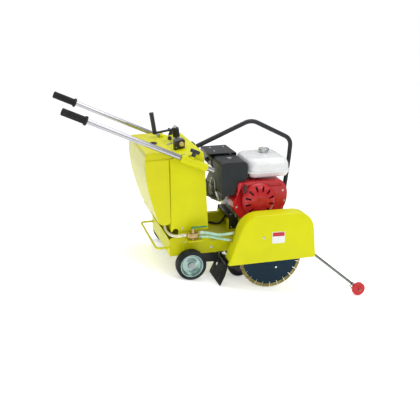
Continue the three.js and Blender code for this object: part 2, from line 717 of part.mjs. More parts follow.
function pointerArm() {
  const [px, pz] = POINTER.pivot;
  const [wx, wz] = POINTER.wheel;
  const y = POINTER.y + 22;
  const cross = crossRod([px, pz], [y - POINTER.rod, -204], 8, 16);
  const arm = rod([px, y, pz], [wx, y, wz], POINTER.rod, 14);
  const axle = crossRod([wx, wz], [POINTER.y - 22, y + 4], 5, 16);
  return join(cross, arm, axle);
}

function pointerWheel() {
  const [r, bore] = [POINTER.wheelRadius, 5 + GAP];
  return turned([[bore, -13], [13, -13], [15, -10], [r - 6, -10], [r, -6], [r, 6], [r - 6, 10], [15, 10],
    [13, 13], [bore, 13], [bore, -13]], 24);
}

// ---------------------------------------------------------------- assembly

function buildChassis() {
  add('chassis_frame', chassisFrame(), YELLOW);
  add('rear_axle', rearAxle(), STEEL);
  add('rear_bar', rearBar(), YELLOW);
  add('lifting_bar', liftingBar(), BLACK_PAINT);
  add('mud_flap', mudFlap(), RUBBER);
  add('blade_guard', bladeGuard(), YELLOW);
  add('belt_cover', beltCover(), YELLOW);
}

function buildConsole() {
  add('console_shell', consoleShell(), YELLOW);
  add('water_tank', waterTank(), YELLOW);
  add('filler_cap', fillerCap(), BLACK_PLASTIC);
  add('switch_box', switchBox(), BLACK_PLASTIC);
  add('stop_button', stopButton(), [0xd8c79a, 0.5]);
  add('throttle_lever', throttleLever(), BLACK_PLASTIC);
  bothSides((name, side) => {
    add(`handle_sleeve_${name}`, handleSleeve(side), YELLOW);
    add(`handle_tube_${name}`, handleTube(side), CHROME);
    add(`handle_grip_${name}`, handleGrip(side), RUBBER);
    add(`lock_knob_${name}`, lockKnob(side), BLACK_PLASTIC);
  });
}

function buildCarriage() {
  add('depth_crank', depthCrank(), BLACK_PAINT);
  add('crank_grip', crankGrip(), BLACK_PLASTIC);
  add('depth_screw', depthScrew(), STEEL);
  add('carriage_frame', carriageFrame(), BLACK_PAINT);
  bothSides((name, side) => {
    add(`front_wheel_${name}`, frontWheel(), RUBBER).position.set(FRONT_WHEEL.x, side * FRONT_WHEEL.y,
      FRONT_AXLE_Z);
    const wheel = new THREE.Group();
    wheel.position.set(0, side * REAR_WHEEL.y, AXLE_Z);
    machine.add(wheel);
    add(`rear_tyre_${name}`, rearTyre(), RUBBER, wheel);
    add(`rear_rim_${name}`, turned(rimProfile(REAR_WHEEL), 24), STEEL, wheel);
  });
}

function buildBladeDrive() {
  const arbor = new THREE.Group();
  arbor.position.set(BLADE.x, BLADE.y, BLADE.z);
  machine.add(arbor);
  add('saw_blade', sawBlade(), [0x1b2a3c, 0.4, 0.6], arbor);
  add('blade_flange', arborFlange(), STEEL, arbor);
  add('arbor_shaft', arborShaft(), STEEL, arbor);
  const driven = add('driven_pulley', pulley(PULLEY.blade, 15 + GAP), STEEL, arbor);
  driven.position.y = (PULLEY.y0 + PULLEY.y1) / 2 - BLADE.y;
  bothSides((name, side) => add(`arbor_bearing_${name}`, arborBearing(side), BLACK_PAINT));
  add('drive_belt', driveBelt(), RUBBER);
}

function buildEngine() {
  add('engine_mount', engineMount(), YELLOW);
  add('crankcase', crankcase(), BLACK_PAINT);
  add('engine_cylinder', engineCylinder(), BLACK_PAINT);
  add('fan_cover', fanCover(), RED);
  add('recoil_cover', recoilCover(), RED);
  add('recoil_grip', recoilGrip(), BLACK_PLASTIC);
  add('fuel_tank', fuelTank(), WHITE);
  add('fuel_cap', fuelCap(), STEEL);
  add('air_cleaner', airCleaner(), BLACK_PLASTIC);
  add('carburettor', carburettor(), STEEL);
  add('choke_lever', chokeLever(), STEEL);
  add('muffler', muffler(), BLACK_PAINT);
  add('muffler_shield', mufflerShield(), BLACK_PAINT);
  add('engine_shaft', engineShaft(), STEEL);
}

function buildWaterSupply() {
  add('valve_body', valveBody(), BRASS);
  add('valve_lever', valveLever(), [0x2f7d4f, 0.5]);
  add('supply_hose', hose(SUPPLY_ROUTE, 8), [0xe6dfc4, 0.5]);
  add('guard_hose_upper', hose(UPPER_ROUTE, GUARD_HOSE_RADIUS), [0xa9cdb6, 0.45]);
  add('guard_hose_lower', hose(LOWER_ROUTE, GUARD_HOSE_RADIUS), [0xa9cdb6, 0.45]);
  add('throttle_cable', hose(CABLE_ROUTE, 3), BLACK_PLASTIC);
}

function buildPointer() {
  add('pointer_arm', pointerArm(), STEEL);
  const [x, z] = POINTER.wheel;
  add('pointer_wheel', pointerWheel(), RED).position.set(x, POINTER.y, z);
}

buildChassis();
buildConsole();
buildCarriage();
buildBladeDrive();
buildEngine();
buildWaterSupply();
buildPointer();

// Stand the machine on its wheels and put the origin on the floor under the middle of its box.
machine.rotation.y = -NOSE_UP;
machine.updateMatrixWorld(true);
const box = new THREE.Box3().setFromObject(machine, true);
machine.position.set(-(box.min.x + box.max.x) / 2, -(box.min.y + box.max.y) / 2, -box.min.z);

const saw = new THREE.Group();
saw.name = 'concrete_saw';
saw.add(machine);

export default saw;
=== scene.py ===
"""Looks of the walk-behind concrete saw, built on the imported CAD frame.

Shapes are written in chassis millimetres: X forward, Y to the operator's left, Z up, with X = 0 at the
rear axle and the axes level with the deck. ROW turns them into the frame's metres, nose up.
"""

from math import acos, atan2, cos, pi, radians, sin

import bmesh
import bpy
from mathutils import Matrix, Vector


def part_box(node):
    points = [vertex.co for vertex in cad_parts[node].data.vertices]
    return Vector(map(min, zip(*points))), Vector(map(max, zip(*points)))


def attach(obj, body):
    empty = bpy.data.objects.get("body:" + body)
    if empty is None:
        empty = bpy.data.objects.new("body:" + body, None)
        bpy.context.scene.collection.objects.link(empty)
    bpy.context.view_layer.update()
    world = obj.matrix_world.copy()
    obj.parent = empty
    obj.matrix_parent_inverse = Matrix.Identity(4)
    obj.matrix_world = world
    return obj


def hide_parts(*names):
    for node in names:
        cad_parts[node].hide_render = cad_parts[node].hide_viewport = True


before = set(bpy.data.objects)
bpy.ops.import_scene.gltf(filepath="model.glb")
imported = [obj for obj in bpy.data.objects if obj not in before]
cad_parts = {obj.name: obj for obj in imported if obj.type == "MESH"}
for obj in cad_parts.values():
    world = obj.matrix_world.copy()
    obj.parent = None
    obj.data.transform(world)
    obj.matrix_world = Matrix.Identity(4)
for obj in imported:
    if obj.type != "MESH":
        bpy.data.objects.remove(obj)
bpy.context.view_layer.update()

# ------------------------------------------------------------------ chassis axes

NOSE_UP = radians(11.6)
AXLE_Z = 77
# Just above the top face of the deck plate.
DECK = 172.3
MM = 0.001
AHEAD, BACK = (1, 0, 0), (-1, 0, 0)
LEFT, RIGHT = (0, 1, 0), (0, -1, 0)
UP, DOWN = (0, 0, 1), (0, 0, -1)


def box_centre(node):
    low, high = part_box(node)
    return (low + high) / 2


TILT = Matrix.Rotation(-NOSE_UP, 4, "Y")
ROW = Matrix.Translation(box_centre("rear_axle")) @ TILT @ Matrix.Scale(MM,
    4) @ Matrix.Translation((0, 0, -AXLE_Z))
CHASSIS = ROW.inverted()


def span(node):
    """Lowest and highest corner of a CAD node, in chassis millimetres."""
    corners = [CHASSIS @ v.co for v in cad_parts[node].data.vertices]
    low = Vector(min(c[i] for c in corners) for i in range(3))
    high = Vector(max(c[i] for c in corners) for i in range(3))
    return low, high


def middle(node):
    low, high = span(node)
    return (low + high) / 2


# ------------------------------------------------------------------ materials


class Nodes:
    """A short way to write a material's node tree."""

    def __init__(self, name):
        self.material = bpy.data.materials.new(name)
        self.material.use_nodes = True
        self.tree = self.material.node_tree
        self.shader = self.tree.nodes["Principled BSDF"]
        self.place = self.tree.nodes.new("ShaderNodeTexCoord").outputs["Object"]

    def add(self, kind, settings=(), **links):
        node = self.tree.nodes.new("ShaderNode" + kind)
        for key, value in dict(settings).items():
            if hasattr(node, key):
                setattr(node, key, value)
            else:
                node.inputs[key].default_value = value
        for key, source in links.items():
            self.tree.links.new(source, node.inputs[key.replace("_", " ")])
        return node

    def noise(self, scale, detail=3.0, stretch=None):
        place = self.place
        if stretch:
            place = self.add("Mapping", {"Scale": stretch}, Vector=place).outputs["Vector"]
        return self.add("TexNoise", {"Scale": scale, "Detail": detail}, Vector=place).outputs["Fac"]

    def remap(self, value, low, high, to_low=0.0, to_high=1.0):
        limits = {"From Min": low, "From Max": high, "To Min": to_low, "To Max": to_high}
        return self.add("MapRange", limits, Value=value).outputs["Result"]

    def mix(self, amount, first, second):
        node = self.tree.nodes.new("ShaderNodeMix")
        node.data_type = "RGBA"
        self.tree.links.new(amount, node.inputs["Factor"])
        for socket, value in ((node.inputs[6], first), (node.inputs[7], second)):
            if isinstance(value, tuple):
                socket.default_value = (*value, 1)
            else:
                self.tree.links.new(value, socket)
        return node.outputs[2]

    def link(self, source, socket):
        self.tree.links.new(source, self.shader.inputs[socket])

    def put(self, **sockets):
        for socket, value in sockets.items():
            self.shader.inputs[socket.replace("_", " ")].default_value = value

    def bump(self, height, strength, distance=0.0006):
        node = self.add("Bump", {"Strength": strength, "Distance": distance}, Height=height)
        self.link(node.outputs["Normal"], "Normal")


def shade(colour, factor):
    """The colour made lighter or darker by a factor."""
    return tuple(min(1.0, c * factor) for c in colour)


DUST = (0.42, 0.4, 0.34)


def finish(name, colour, rough, metal=0.0, *, spread=0.08, patch=7, grain=900, relief=0.12, dust=0.0,
    **sockets):
    """Base look: soft colour patches, uneven gloss, fine relief and dust low on the machine."""
    n = Nodes(name)
    patches = n.noise(patch, 4)
    tone = n.mix(n.remap(patches, 0.35, 0.65), shade(colour, 1 - spread), shade(colour, 1 + spread))
    if dust:
        height = n.add("SeparateXYZ", Vector=n.place).outputs["Z"]
        low = n.add("Math", {"operation": "MULTIPLY"}, Value=n.remap(height, 0.3, 0.0, 0.0, dust))
        n.tree.links.new(n.remap(n.noise(24, 6), 0.4, 0.7), low.inputs[1])
        tone = n.mix(low.outputs[0], tone, DUST)
    n.link(tone, "Base Color")
    n.link(n.remap(n.noise(patch * 3, 5), 0.3, 0.7, rough * 0.85, min(1.0, rough * 1.2)), "Roughness")
    n.bump(n.noise(grain, 2), relief)
    n.put(Metallic=metal, **sockets)
    return n.material


def brushed(name, colour, rough, stretch, relief=0.1, spread=0.12):
    """Metal with fine lines: the noise is stretched along the direction of the lines."""
    n = Nodes(name)
    lines = n.noise(260, 4, stretch)
    n.link(n.mix(n.remap(lines, 0.3, 0.7), shade(colour, 1 - spread), shade(colour, 1 + spread)),
        "Base Color")
    n.link(n.remap(lines, 0.3, 0.7, rough * 0.7, rough * 1.3), "Roughness")
    n.bump(lines, relief, 0.0002)
    n.put(Metallic=1.0)
    return n.material


def rubber(name, colour, rough=0.72, grain=500, relief=0.35, dust=0.25):
    """Matt, cloudy and coarse."""
    return finish(name, colour, rough, spread=0.18, patch=14, grain=grain, relief=relief, dust=dust,
        Specular_IOR_Level=0.2)


def turned_metal(name, colour, rough, centre, rings=2600):
    """Metal with fine turning rings round an axis across the machine."""
    n = Nodes(name)
    moved = n.add("Mapping", {"Location": [-c for c in centre]}, Vector=n.place).outputs["Vector"]
    flat = n.add("VectorMath", {"operation": "MULTIPLY"}, Vector=moved)
    flat.inputs[1].default_value = (1, 0, 1)
    radius = n.add("VectorMath", {"operation": "LENGTH"}, Vector=flat.outputs[0]).outputs["Value"]
    stretched = n.add("Math", {"operation": "MULTIPLY"}, Value=radius)
    stretched.inputs[1].default_value = rings
    wave = n.add("TexNoise", {"noise_dimensions": "1D", "Scale": 1.0, "Detail": 3.0},
        W=stretched.outputs[0]).outputs["Fac"]
    tone = n.mix(n.remap(wave, 0.3, 0.7), shade(colour, 0.82), shade(colour, 1.2))
    n.link(n.mix(n.remap(n.noise(9), 0.4, 0.7, 0, 0.35), tone, shade(colour, 0.6)), "Base Color")
    n.link(n.remap(wave, 0.3, 0.7, rough * 0.7, rough * 1.3), "Roughness")
    n.bump(wave, 0.08, 0.0002)
    n.put(Metallic=0.75)
    return n.material


def diamond_rim():
    """Sintered rim segments: gritty bronze and olive."""
    n = Nodes("sintered_rim")
    grit = n.add("TexVoronoi", {"Scale": 900.0}, Vector=n.place).outputs["Distance"]
    tone = n.mix(n.remap(n.noise(60, 6), 0.35, 0.65), (0.16, 0.13, 0.035), (0.38, 0.31, 0.1))
    n.link(n.mix(n.remap(grit, 0.0, 0.25), (0.55, 0.5, 0.32), tone), "Base Color")
    n.link(n.remap(grit, 0, 0.5, 0.35, 0.7), "Roughness")
    n.bump(grit, 0.5, 0.0005)
    n.put(Metallic=0.45)
    return n.material


def moulded_tank():
    """Rotational-moulded polyethylene: waxy and a little translucent, with painted light: faces turned
    towards the rear are paler.
    """
    n = Nodes("moulded_tank")
    bright, pale = (0.69, 0.67, 0.004), (0.6, 0.6, 0.18)
    # Painted light: faces whose normal points to the rear are mixed towards the pale colour, in noisy
    # patches.
    back = n.add("NewGeometry").outputs["Normal"]
    facing = n.add("SeparateXYZ", Vector=back).outputs["X"]
    rear_face_light = n.add("Math", {"operation": "MULTIPLY"}, Value=n.remap(facing, -0.55, -0.95))
    n.tree.links.new(n.remap(n.noise(5, 3), 0.25, 0.75, 0.55, 1.0), rear_face_light.inputs[1])
    cloud = n.mix(n.remap(n.noise(16, 5), 0.35, 0.7, 0, 0.35), bright, shade(bright, 0.86))
    n.link(n.mix(rear_face_light.outputs[0], cloud, pale), "Base Color")
    n.link(n.remap(n.noise(40, 4), 0.3, 0.7, 0.3, 0.44), "Roughness")
    n.bump(n.noise(320, 3), 0.1)
    n.put(Specular_IOR_Level=0.25, Subsurface_Weight=0.06)
    n.put(Subsurface_Radius=(0.012, 0.011, 0.004), Subsurface_Scale=1.0)
    return n.material


YELLOW = (0.68, 0.68, 0.003)
LOOK = {
    "yellow": finish("yellow_powder_coat", YELLOW, 0.36, spread=0.035, relief=0.07, grain=420, dust=0.06,
        Specular_IOR_Level=0.18),
    "tank": moulded_tank(),
    "black": finish("black_powder_coat", (0.014, 0.015, 0.02), 0.38, spread=0.15, relief=0.14, grain=600,
        dust=0.05, Specular_IOR_Level=0.4),
    "plastic": finish("black_moulded_plastic", (0.02, 0.021, 0.024), 0.42, spread=0.12, grain=1400,
        relief=0.2),
    "cleaner": finish("air_cleaner_plastic", (0.012, 0.017, 0.02), 0.46, spread=0.1, grain=1100,
        relief=0.28, Specular_IOR_Level=0.35),
    "grip": rubber("grip_rubber", (0.02, 0.02, 0.022), dust=0.0, relief=0.5),
    "tyre": rubber("tyre_rubber", (0.009, 0.013, 0.017), 0.55, dust=0.08),
    "flap": rubber("flap_rubber", (0.004, 0.005, 0.007), 0.6, grain=240, dust=0.02),
    "chrome": brushed("chrome_plate", (0.46, 0.46, 0.49), 0.17, (0.2, 1, 0.2), 0.05, 0.06),
    "zinc": finish("zinc_plate", (0.62, 0.64, 0.64), 0.3, 1.0, spread=0.1, patch=30, relief=0.12),
    # The rims' teal tint is a painted reflection on the galvanised metal.
    "rim": finish("galvanised_rim_painted_teal_reflection", (0.36, 0.5, 0.47), 0.22, 0.92, spread=0.14, patch=18, relief=0.1,
        dust=0.1),
    # Painted shade: the plated rod's colour is darkened to green-grey so the rod looks shaded underneath.
    "rod": brushed("plated_rod_darkened_as_painted_shade", (0.2, 0.22, 0.2), 0.3, (0.2, 1, 0.2), 0.06),
    "steel": brushed("ground_steel", (0.36, 0.37, 0.38), 0.35, (1, 0.1, 1)),
    "alloy": finish("cast_alloy", (0.24, 0.25, 0.26), 0.5, 0.85, spread=0.14, patch=20, grain=700,
        relief=0.5),
    "red": finish("red_enamel", (0.52, 0.012, 0.018), 0.28, spread=0.07, relief=0.06,
        Specular_IOR_Level=0.4, Coat_Weight=0.15, Coat_Roughness=0.15),
    "white": finish("white_enamel", (0.8, 0.82, 0.83), 0.25, spread=0.03, relief=0.05, Coat_Weight=0.5,
        Coat_Roughness=0.1),
    "brass": finish("cast_brass", (0.5, 0.36, 0.16), 0.36, 0.95, spread=0.2, patch=40, grain=500,
        relief=0.25),
    "cream_hose": finish("cream_hose", (0.78, 0.72, 0.5), 0.35, spread=0.06, patch=20, relief=0.08,
        Subsurface_Weight=0.15),
    "green_hose": finish("green_hose", (0.4, 0.66, 0.5), 0.28, spread=0.14, patch=26, relief=0.08,
        Subsurface_Weight=0.2),
    "green": finish("dipped_green_plastic", (0.02, 0.26, 0.1), 0.4, spread=0.1, relief=0.12),
    "amber": finish("amber_button", (0.68, 0.5, 0.2), 0.3, spread=0.08, patch=30, relief=0.05),
    "wheel_red": finish("red_moulded_wheel", (0.55, 0.012, 0.015), 0.35, spread=0.08, patch=20,
        relief=0.14),
    "belt": rubber("belt_rubber", (0.02, 0.02, 0.02), dust=0.0),
    "blade": turned_metal("blade_core", (0.006, 0.022, 0.038), 0.34, box_centre("saw_blade")),
    "rim_segments": diamond_rim(),
}

# ------------------------------------------------------------------ mesh tools


def aim(origin, direction=LEFT, side=AHEAD):
    """Matrix that lays a shape's own Y axis along direction, with its X axis towards side."""
    y = Vector(direction).normalized()
    x = (Vector(side) - Vector(side).dot(y) * y).normalized()
    return Matrix.Translation(origin) @ Matrix((x, y, x.cross(y))).transposed().to_4x4()


def corner_curve(start, corner, end, steps):
    """Points along the curve that rounds a corner off between start and end."""
    shares = [k / steps for k in range(steps + 1)]
    return [(1 - t) ** 2 * start + 2 * t * (1 - t) * corner + t * t * end for t in shares]


def rounded(points, steps=10):
    """Outline from (x, z) or (x, z, round) points, each rounded corner drawn as a curve."""
    outline = []
    for i, (x, z, *radius) in enumerate(points):
        here = Vector((x, z))
        if not radius:
            outline.append(here)
            continue
        before = Vector(points[i - 1][:2]) - here
        after = Vector(points[(i + 1) % len(points)][:2]) - here
        start = here + before.normalized() * radius[0]
        end = here + after.normalized() * radius[0]
        outline += corner_curve(start, here, end, steps)
    return outline


def soften(bm, edges, width, steps=4):
    """Rounds edges over that width, and turns every face outwards."""
    if width:
        bmesh.ops.bevel(bm, geom=edges, offset=width, segments=steps, profile=0.5, affect="EDGES",
            clamp_overlap=False)
    bmesh.ops.recalc_face_normals(bm, faces=bm.faces)


def skin(bm, rings, count=None):
    """Quads between neighbouring rings: right round, or only the first count of each ring."""
    for low, high in zip(rings, rings[1:]):
        for i in range(count or len(low)):
            j = (i + 1) % len(low)
            bm.faces.new((low[i], low[j], high[j], high[i]))


def prism(outline, y0, y1, edge=1.0, steps=4, place=Matrix()):
    """An XZ outline drawn out along Y, its two rims rounded by edge."""
    bm = bmesh.new()
    rings = [[bm.verts.new((x, y, z)) for x, z in outline] for y in (y0, y1)]
    caps = [bm.faces.new(ring) for ring in rings]
    skin(bm, rings)
    soften(bm, [e for cap in caps for e in cap.edges], edge, steps)
    bm.transform(place)
    return bm


def slab(x, y, z, edge=1.0, steps=3, place=Matrix()):
    """A block with every edge rounded."""
    bm = bmesh.new()
    size = [hi - lo for lo, hi in (x, y, z)]
    centre = [(hi + lo) / 2 for lo, hi in (x, y, z)]
    bmesh.ops.create_cube(bm, size=1, matrix=Matrix.Translation(centre) @ Matrix.Diagonal((*size, 1)))
    soften(bm, bm.edges[:], edge, steps)
    bm.transform(place)
    return bm


def loft(x, y, levels, corner, steps=10):
    """A closed body through level rounded rectangles, each given as (z, how far inside x and y)."""
    bm = bmesh.new()
    rings = []
    for z, inset in levels:
        r = max(corner - inset * 0.6, 2)
        ring = []
        for k, (cx, cy) in enumerate(((x[1], y[1]), (x[0], y[1]), (x[0], y[0]), (x[1], y[0]))):
            way = (1 if cx == x[1] else -1), (1 if cy == y[1] else -1)
            centre = cx - way[0] * (inset + r), cy - way[1] * (inset + r)
            for i in range(steps + 1):
                a = (k + i / steps) * pi / 2
                ring.append(bm.verts.new((centre[0] + r * cos(a), centre[1] + r * sin(a), z)))
        rings.append(ring)
    skin(bm, rings)
    bm.faces.new(rings[0])
    bm.faces.new(rings[-1])
    bmesh.ops.recalc_face_normals(bm, faces=bm.faces)
    return bm


def lathe(profile, place=Matrix(), segments=72):
    """Turns (radius, along) pairs round the local Y axis; a closed profile repeats its first pair."""
    bm = bmesh.new()
    closed = profile[0] == profile[-1]
    pairs = profile[:-1] if closed else profile
    rings = []
    for radius, along in pairs:
        if radius == 0:
            rings.append([bm.verts.new((0, along, 0))] * segments)
            continue
        angles = [2 * pi * i / segments for i in range(segments)]
        rings.append([bm.verts.new((radius * sin(a), along, radius * cos(a))) for a in angles])
    for k in range(len(rings) if closed else len(rings) - 1):
        low, high = rings[k], rings[(k + 1) % len(rings)]
        for i in range(segments):
            j = (i + 1) % segments
            corners = list(dict.fromkeys((low[i], low[j], high[j], high[i])))
            if len(corners) > 2:
                bm.faces.new(corners)
    bmesh.ops.recalc_face_normals(bm, faces=bm.faces)
    bm.transform(place)
    return bm


def symmetric(half):
    """A closed profile from the half of it that lies at positive heights."""
    profile = [(radius, -along) for radius, along in half] + half[::-1]
    return profile + profile[:1]


def bar(start, end, radius, edge=0.8, segments=40):
    """A round bar between two points with chamfered ends."""
    start, end = Vector(start), Vector(end)
    length = (end - start).length
    profile = [(0, 0), (radius - edge, 0), (radius, edge), (radius, length - edge), (radius - edge, length),
        (0, length)]
    direction = end - start
    side = AHEAD if abs(direction.normalized().x) < 0.9 else UP
    return lathe(profile, aim(start, direction, side), segments)


def bent(points, bend, steps=10):
    """Centre line through points with every inner corner rounded."""
    points = [Vector(p) for p in points]
    line = [points[0]]
    for before, here, after in zip(points, points[1:], points[2:]):
        start = here + (before - here).normalized() * bend
        end = here + (after - here).normalized() * bend
        line += corner_curve(start, here, end, steps)
    return line + [points[-1]]


def smooth_line(points, steps=8):
    """Centre line of a hose: a centripetal Catmull-Rom curve through points."""
    points = [Vector(p) for p in points]
    points = [2 * points[0] - points[1]] + points + [2 * points[-1] - points[-2]]
    line = []
    for p0, p1, p2, p3 in zip(points, points[1:], points[2:], points[3:]):
        d = [max((b - a).length ** 0.5, 1e-6) for a, b in ((p0, p1), (p1, p2), (p2, p3))]
        m1 = ((p1 - p0) / d[0] - (p2 - p0) / (d[0] + d[1]) + (p2 - p1) / d[1]) * d[1]
        m2 = ((p2 - p1) / d[1] - (p3 - p1) / (d[1] + d[2]) + (p3 - p2) / d[2]) * d[1]
        for k in range(steps):
            t = k / steps
            a, b = 2 * t**3 - 3 * t**2 + 1, t**3 - 2 * t**2 + t
            c, d2 = -2 * t**3 + 3 * t**2, t**3 - t**2
            line.append(a * p1 + b * m1 + c * p2 + d2 * m2)
    return line + [points[-2]]


def sweep(line, radius, sides=24):
    """A round tube along a line, its section carried along without twisting."""
    bm = bmesh.new()
    tangents = [(b - a).normalized() for a, b in zip(line, line[1:])]
    tangents = [tangents[0]] + [(a + b).normalized() for a,
        b in zip(tangents, tangents[1:])] + [tangents[-1]]
    normal = tangents[0].orthogonal().normalized()
    rings = []
    for point, tangent in zip(line, tangents):
        normal = (normal - normal.dot(tangent) * tangent).normalized()
        other = tangent.cross(normal)
        angles = [2 * pi * i / sides for i in range(sides)]
        rings.append([bm.verts.new(point + radius * (cos(a) * normal + sin(a) * other)) for a in angles])
    skin(bm, rings)
    bm.faces.new(rings[0])
    bm.faces.new(rings[-1])
    bmesh.ops.recalc_face_normals(bm, faces=bm.faces)
    return bm


def mesh_of(name, parts):
    """One mesh in chassis millimetres from several bmesh parts."""
    whole = bmesh.new()
    for part in parts:
        part_mesh = bpy.data.meshes.new(name + "_part")
        part.to_mesh(part_mesh)
        part.free()
        whole.from_mesh(part_mesh)
        bpy.data.meshes.remove(part_mesh)
    mesh = bpy.data.meshes.new(name)
    whole.to_mesh(mesh)
    whole.free()
    return mesh


def show(thing):
    bpy.context.scene.collection.objects.link(thing)


def make(name, parts, look, body="root", stands_for=(), sharp=34):
    """A finished piece in the frame's metres, with its material, body and the nodes it stands for."""
    mesh = mesh_of(name, parts if isinstance(parts, list) else [parts])
    mesh.transform(ROW)
    mesh.shade_smooth()
    mesh.set_sharp_from_angle(angle=radians(sharp))
    mesh.materials.append(LOOK[look])
    piece = bpy.data.objects.new(name, mesh)
    show(piece)
    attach(piece, body)
    if stands_for:
        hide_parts(*stands_for)


def cover(node, parts, look, body="root", sharp=34):
    """The visible piece that stands for one CAD node."""
    make(node + "_look", parts, look, body, [node], sharp)


def refined(node, edge=1.0, steps=2, sharp=30):
    """The CAD node's own shape with its flat faces made whole and its sharp edges rounded."""
    bm = bmesh.new()
    bm.from_mesh(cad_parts[node].data)
    bm.transform(CHASSIS)
    bmesh.ops.remove_doubles(bm, verts=bm.verts, dist=0.01)
    bmesh.ops.dissolve_limit(bm, angle_limit=radians(0.6), verts=bm.verts, edges=bm.edges)
    edges = [e for e in bm.edges if len(e.link_faces) == 2 and e.calc_face_angle(0) > radians(sharp)]
    bmesh.ops.bevel(bm, geom=edges, offset=edge, segments=steps, profile=0.5, affect="EDGES",
        clamp_overlap=True)
    bmesh.ops.recalc_face_normals(bm, faces=bm.faces)
    return bm


def cut_out(target, *tools):
    """Cuts closed parts out of a bmesh part with an exact boolean."""
    def holder(parts, name):
        thing = bpy.data.objects.new(name, mesh_of(name, parts))
        show(thing)
        return thing

    kept = holder([target], "cut_target")
    tool = holder(list(tools), "cut_tool")
    change = kept.modifiers.new("cut", "BOOLEAN")
    change.object = tool
    change.operation = "DIFFERENCE"
    change.solver = "EXACT"
    change.use_self = True
    result = bmesh.new()
    result.from_mesh(kept.evaluated_get(bpy.context.evaluated_depsgraph_get()).data)
    for thing in (kept, tool):
        bpy.data.objects.remove(thing)
    return result


# ------------------------------------------------------------------ fasteners


def bolt(point, axis, size=8):
    """Hexagon head, washer and the rounded end of the thread."""
    place = aim(point, axis, AHEAD if abs(Vector(axis).normalized().x) < 0.9 else UP)
    head = lathe([(0, 1.4), (size * 0.9, 1.4), (size * 0.95, 2.2), (size * 0.95, size * 0.62),
            (size * 0.8, size * 0.75), (0, size * 0.75)], place, 6)
    washer = lathe([(0, 0), (size * 1.15, 0), (size * 1.2, 0.4), (size * 1.2, 1.2), (size * 1.1, 1.6),
            (0, 1.6)], place, 28)
    end = lathe([(0, size * 0.7), (size * 0.45, size * 0.7), (size * 0.45, size), (size * 0.3, size * 1.15),
            (0, size * 1.15)], place, 20)
    return [head, washer, end]


def bolts(points, axis, size=8):
    return [part for point in points for part in bolt(point, axis, size)]


def fasten(name, points, axis, size, look="zinc"):
    """A piece made of equal bolts."""
    make(name, bolts(points, axis, size), look)


def mirrored(points):
    """Each point and its twin on the other side of the machine."""
    return [(x, side * y, z) for x, y, z in points for side in (-1, 1)]


# ------------------------------------------------------------------ frame and chassis


def build_chassis():
    side = 235
    cover("chassis_frame", refined("chassis_frame", 1.2, 3), "yellow")
    hold_down = [(x, y, 172) for x in (150, 560, 625) for y in (-205, 205)]
    skirt = [(x, s * (side - 0.2), 140) for x in (130, 260, 590) for s in (-1, 1)]
    parts = bolts(hold_down, UP, 6)
    for point in skirt:
        parts += bolt(point, (0, point[1], 0), 6)
    parts += bolts([(-30, -300, 207), (52, -288, 207)], UP, 5)
    make("chassis_bolts", parts, "zinc")
    seams = [sweep([Vector((345, -236, 174)), Vector((399, -236, 174))], 2.5, 12)]
    for s in (-1, 1):
        seams.append(sweep([Vector((-96, s * 234.2, 196)), Vector((-96, s * 234.2, 116))], 2.2, 12))
        seams.append(sweep([Vector((-48, s * 231, 174)), Vector((68, s * 231, 174))], 2.0, 12))
    make("chassis_welds", seams, "yellow")
    end = span("rear_axle")[1].y
    axle = [bar((0, -end, AXLE_Z), (0, end, AXLE_Z), 10, 2)]
    cover("rear_axle", axle, "steel")


def build_bars():
    start, out, half, z = span("rear_bar")[1].x, -167.8, 221.5, 155.5
    loop = bent([(start, -half, z), (out, -half, z), (out, half, z), (start, half, z)], 24)
    cover("rear_bar", sweep(loop, 6, 24), "yellow")
    line = bent([(99, 0, 636), (426, 0, 772), (664, 0, 651), (655, 0, 540), (610, 0, DECK + 6)], 42, 14)
    foot = slab((580, 640), (-30, 30), (DECK, DECK + 8), 2)
    flange = prism([Vector(p) for p in ((91.4, 612), (89.9, 664), (97.6, 664), (99, 612))], -30, 30, 1.5)
    weld = lathe([(12, 0), (15.5, 0.5), (15, 3), (12.4, 5.5), (12, 0)],
        aim((611, 0, DECK + 8), (0.11, 0, 1)), 40)
    cover("lifting_bar", [sweep(line, 12.5, 40), foot, flange, weld], "black", sharp=40)
    heads = bolts([(x, y, DECK + 8) for x in (588, 632) for y in (-20, 20)], UP, 6)
    heads += bolts([(99, -20, 626), (98, 20, 626), (98, -20, 652), (98, 20, 652)], (1, 0, 0.03), 6)
    make("lifting_bar_bolts", heads, "zinc")


def build_flap():
    cover("mud_flap", refined("mud_flap", 1.2, 2, 60), "flap", sharp=50)
    clamp = slab((170, 176), (-366, -240), (84, 102), 1.5)
    lean = Matrix.Rotation(radians(-21), 4, "Y")
    clamp.transform(Matrix.Translation((176.5, 0, 92)) @ lean @ Matrix.Translation((-180.5, 0, -92)))
    make("flap_clamp", clamp, "black")
    fasten("flap_bolts", [(169.5, y, 93) for y in (-350, -305, -258)], (-0.93, 0, 0.36), 5, "steel")


# ------------------------------------------------------------------ blade guard and belt cover


def inset_outline(outline, amount, floor=None):
    """The outline moved inwards. With a floor height it is open, and its ends are cut off level there."""
    closed = floor is None
    count = len(outline)
    moved = []
    for i, here in enumerate(outline):
        before = outline[i - 1] if closed or i else outline[0]
        after = outline[(i + 1) % count] if closed or i < count - 1 else outline[-1]
        run = (after - before).normalized()
        moved.append(here + amount * Vector((run.y, -run.x)))
    if closed:
        return moved

    def cut_end(inner, outer):
        t = (floor - outer.y) / (inner.y - outer.y)
        return outer + t * (inner - outer)

    moved[0] = cut_end(moved[1], moved[0])
    moved[-1] = cut_end(moved[-2], moved[-1])
    return moved


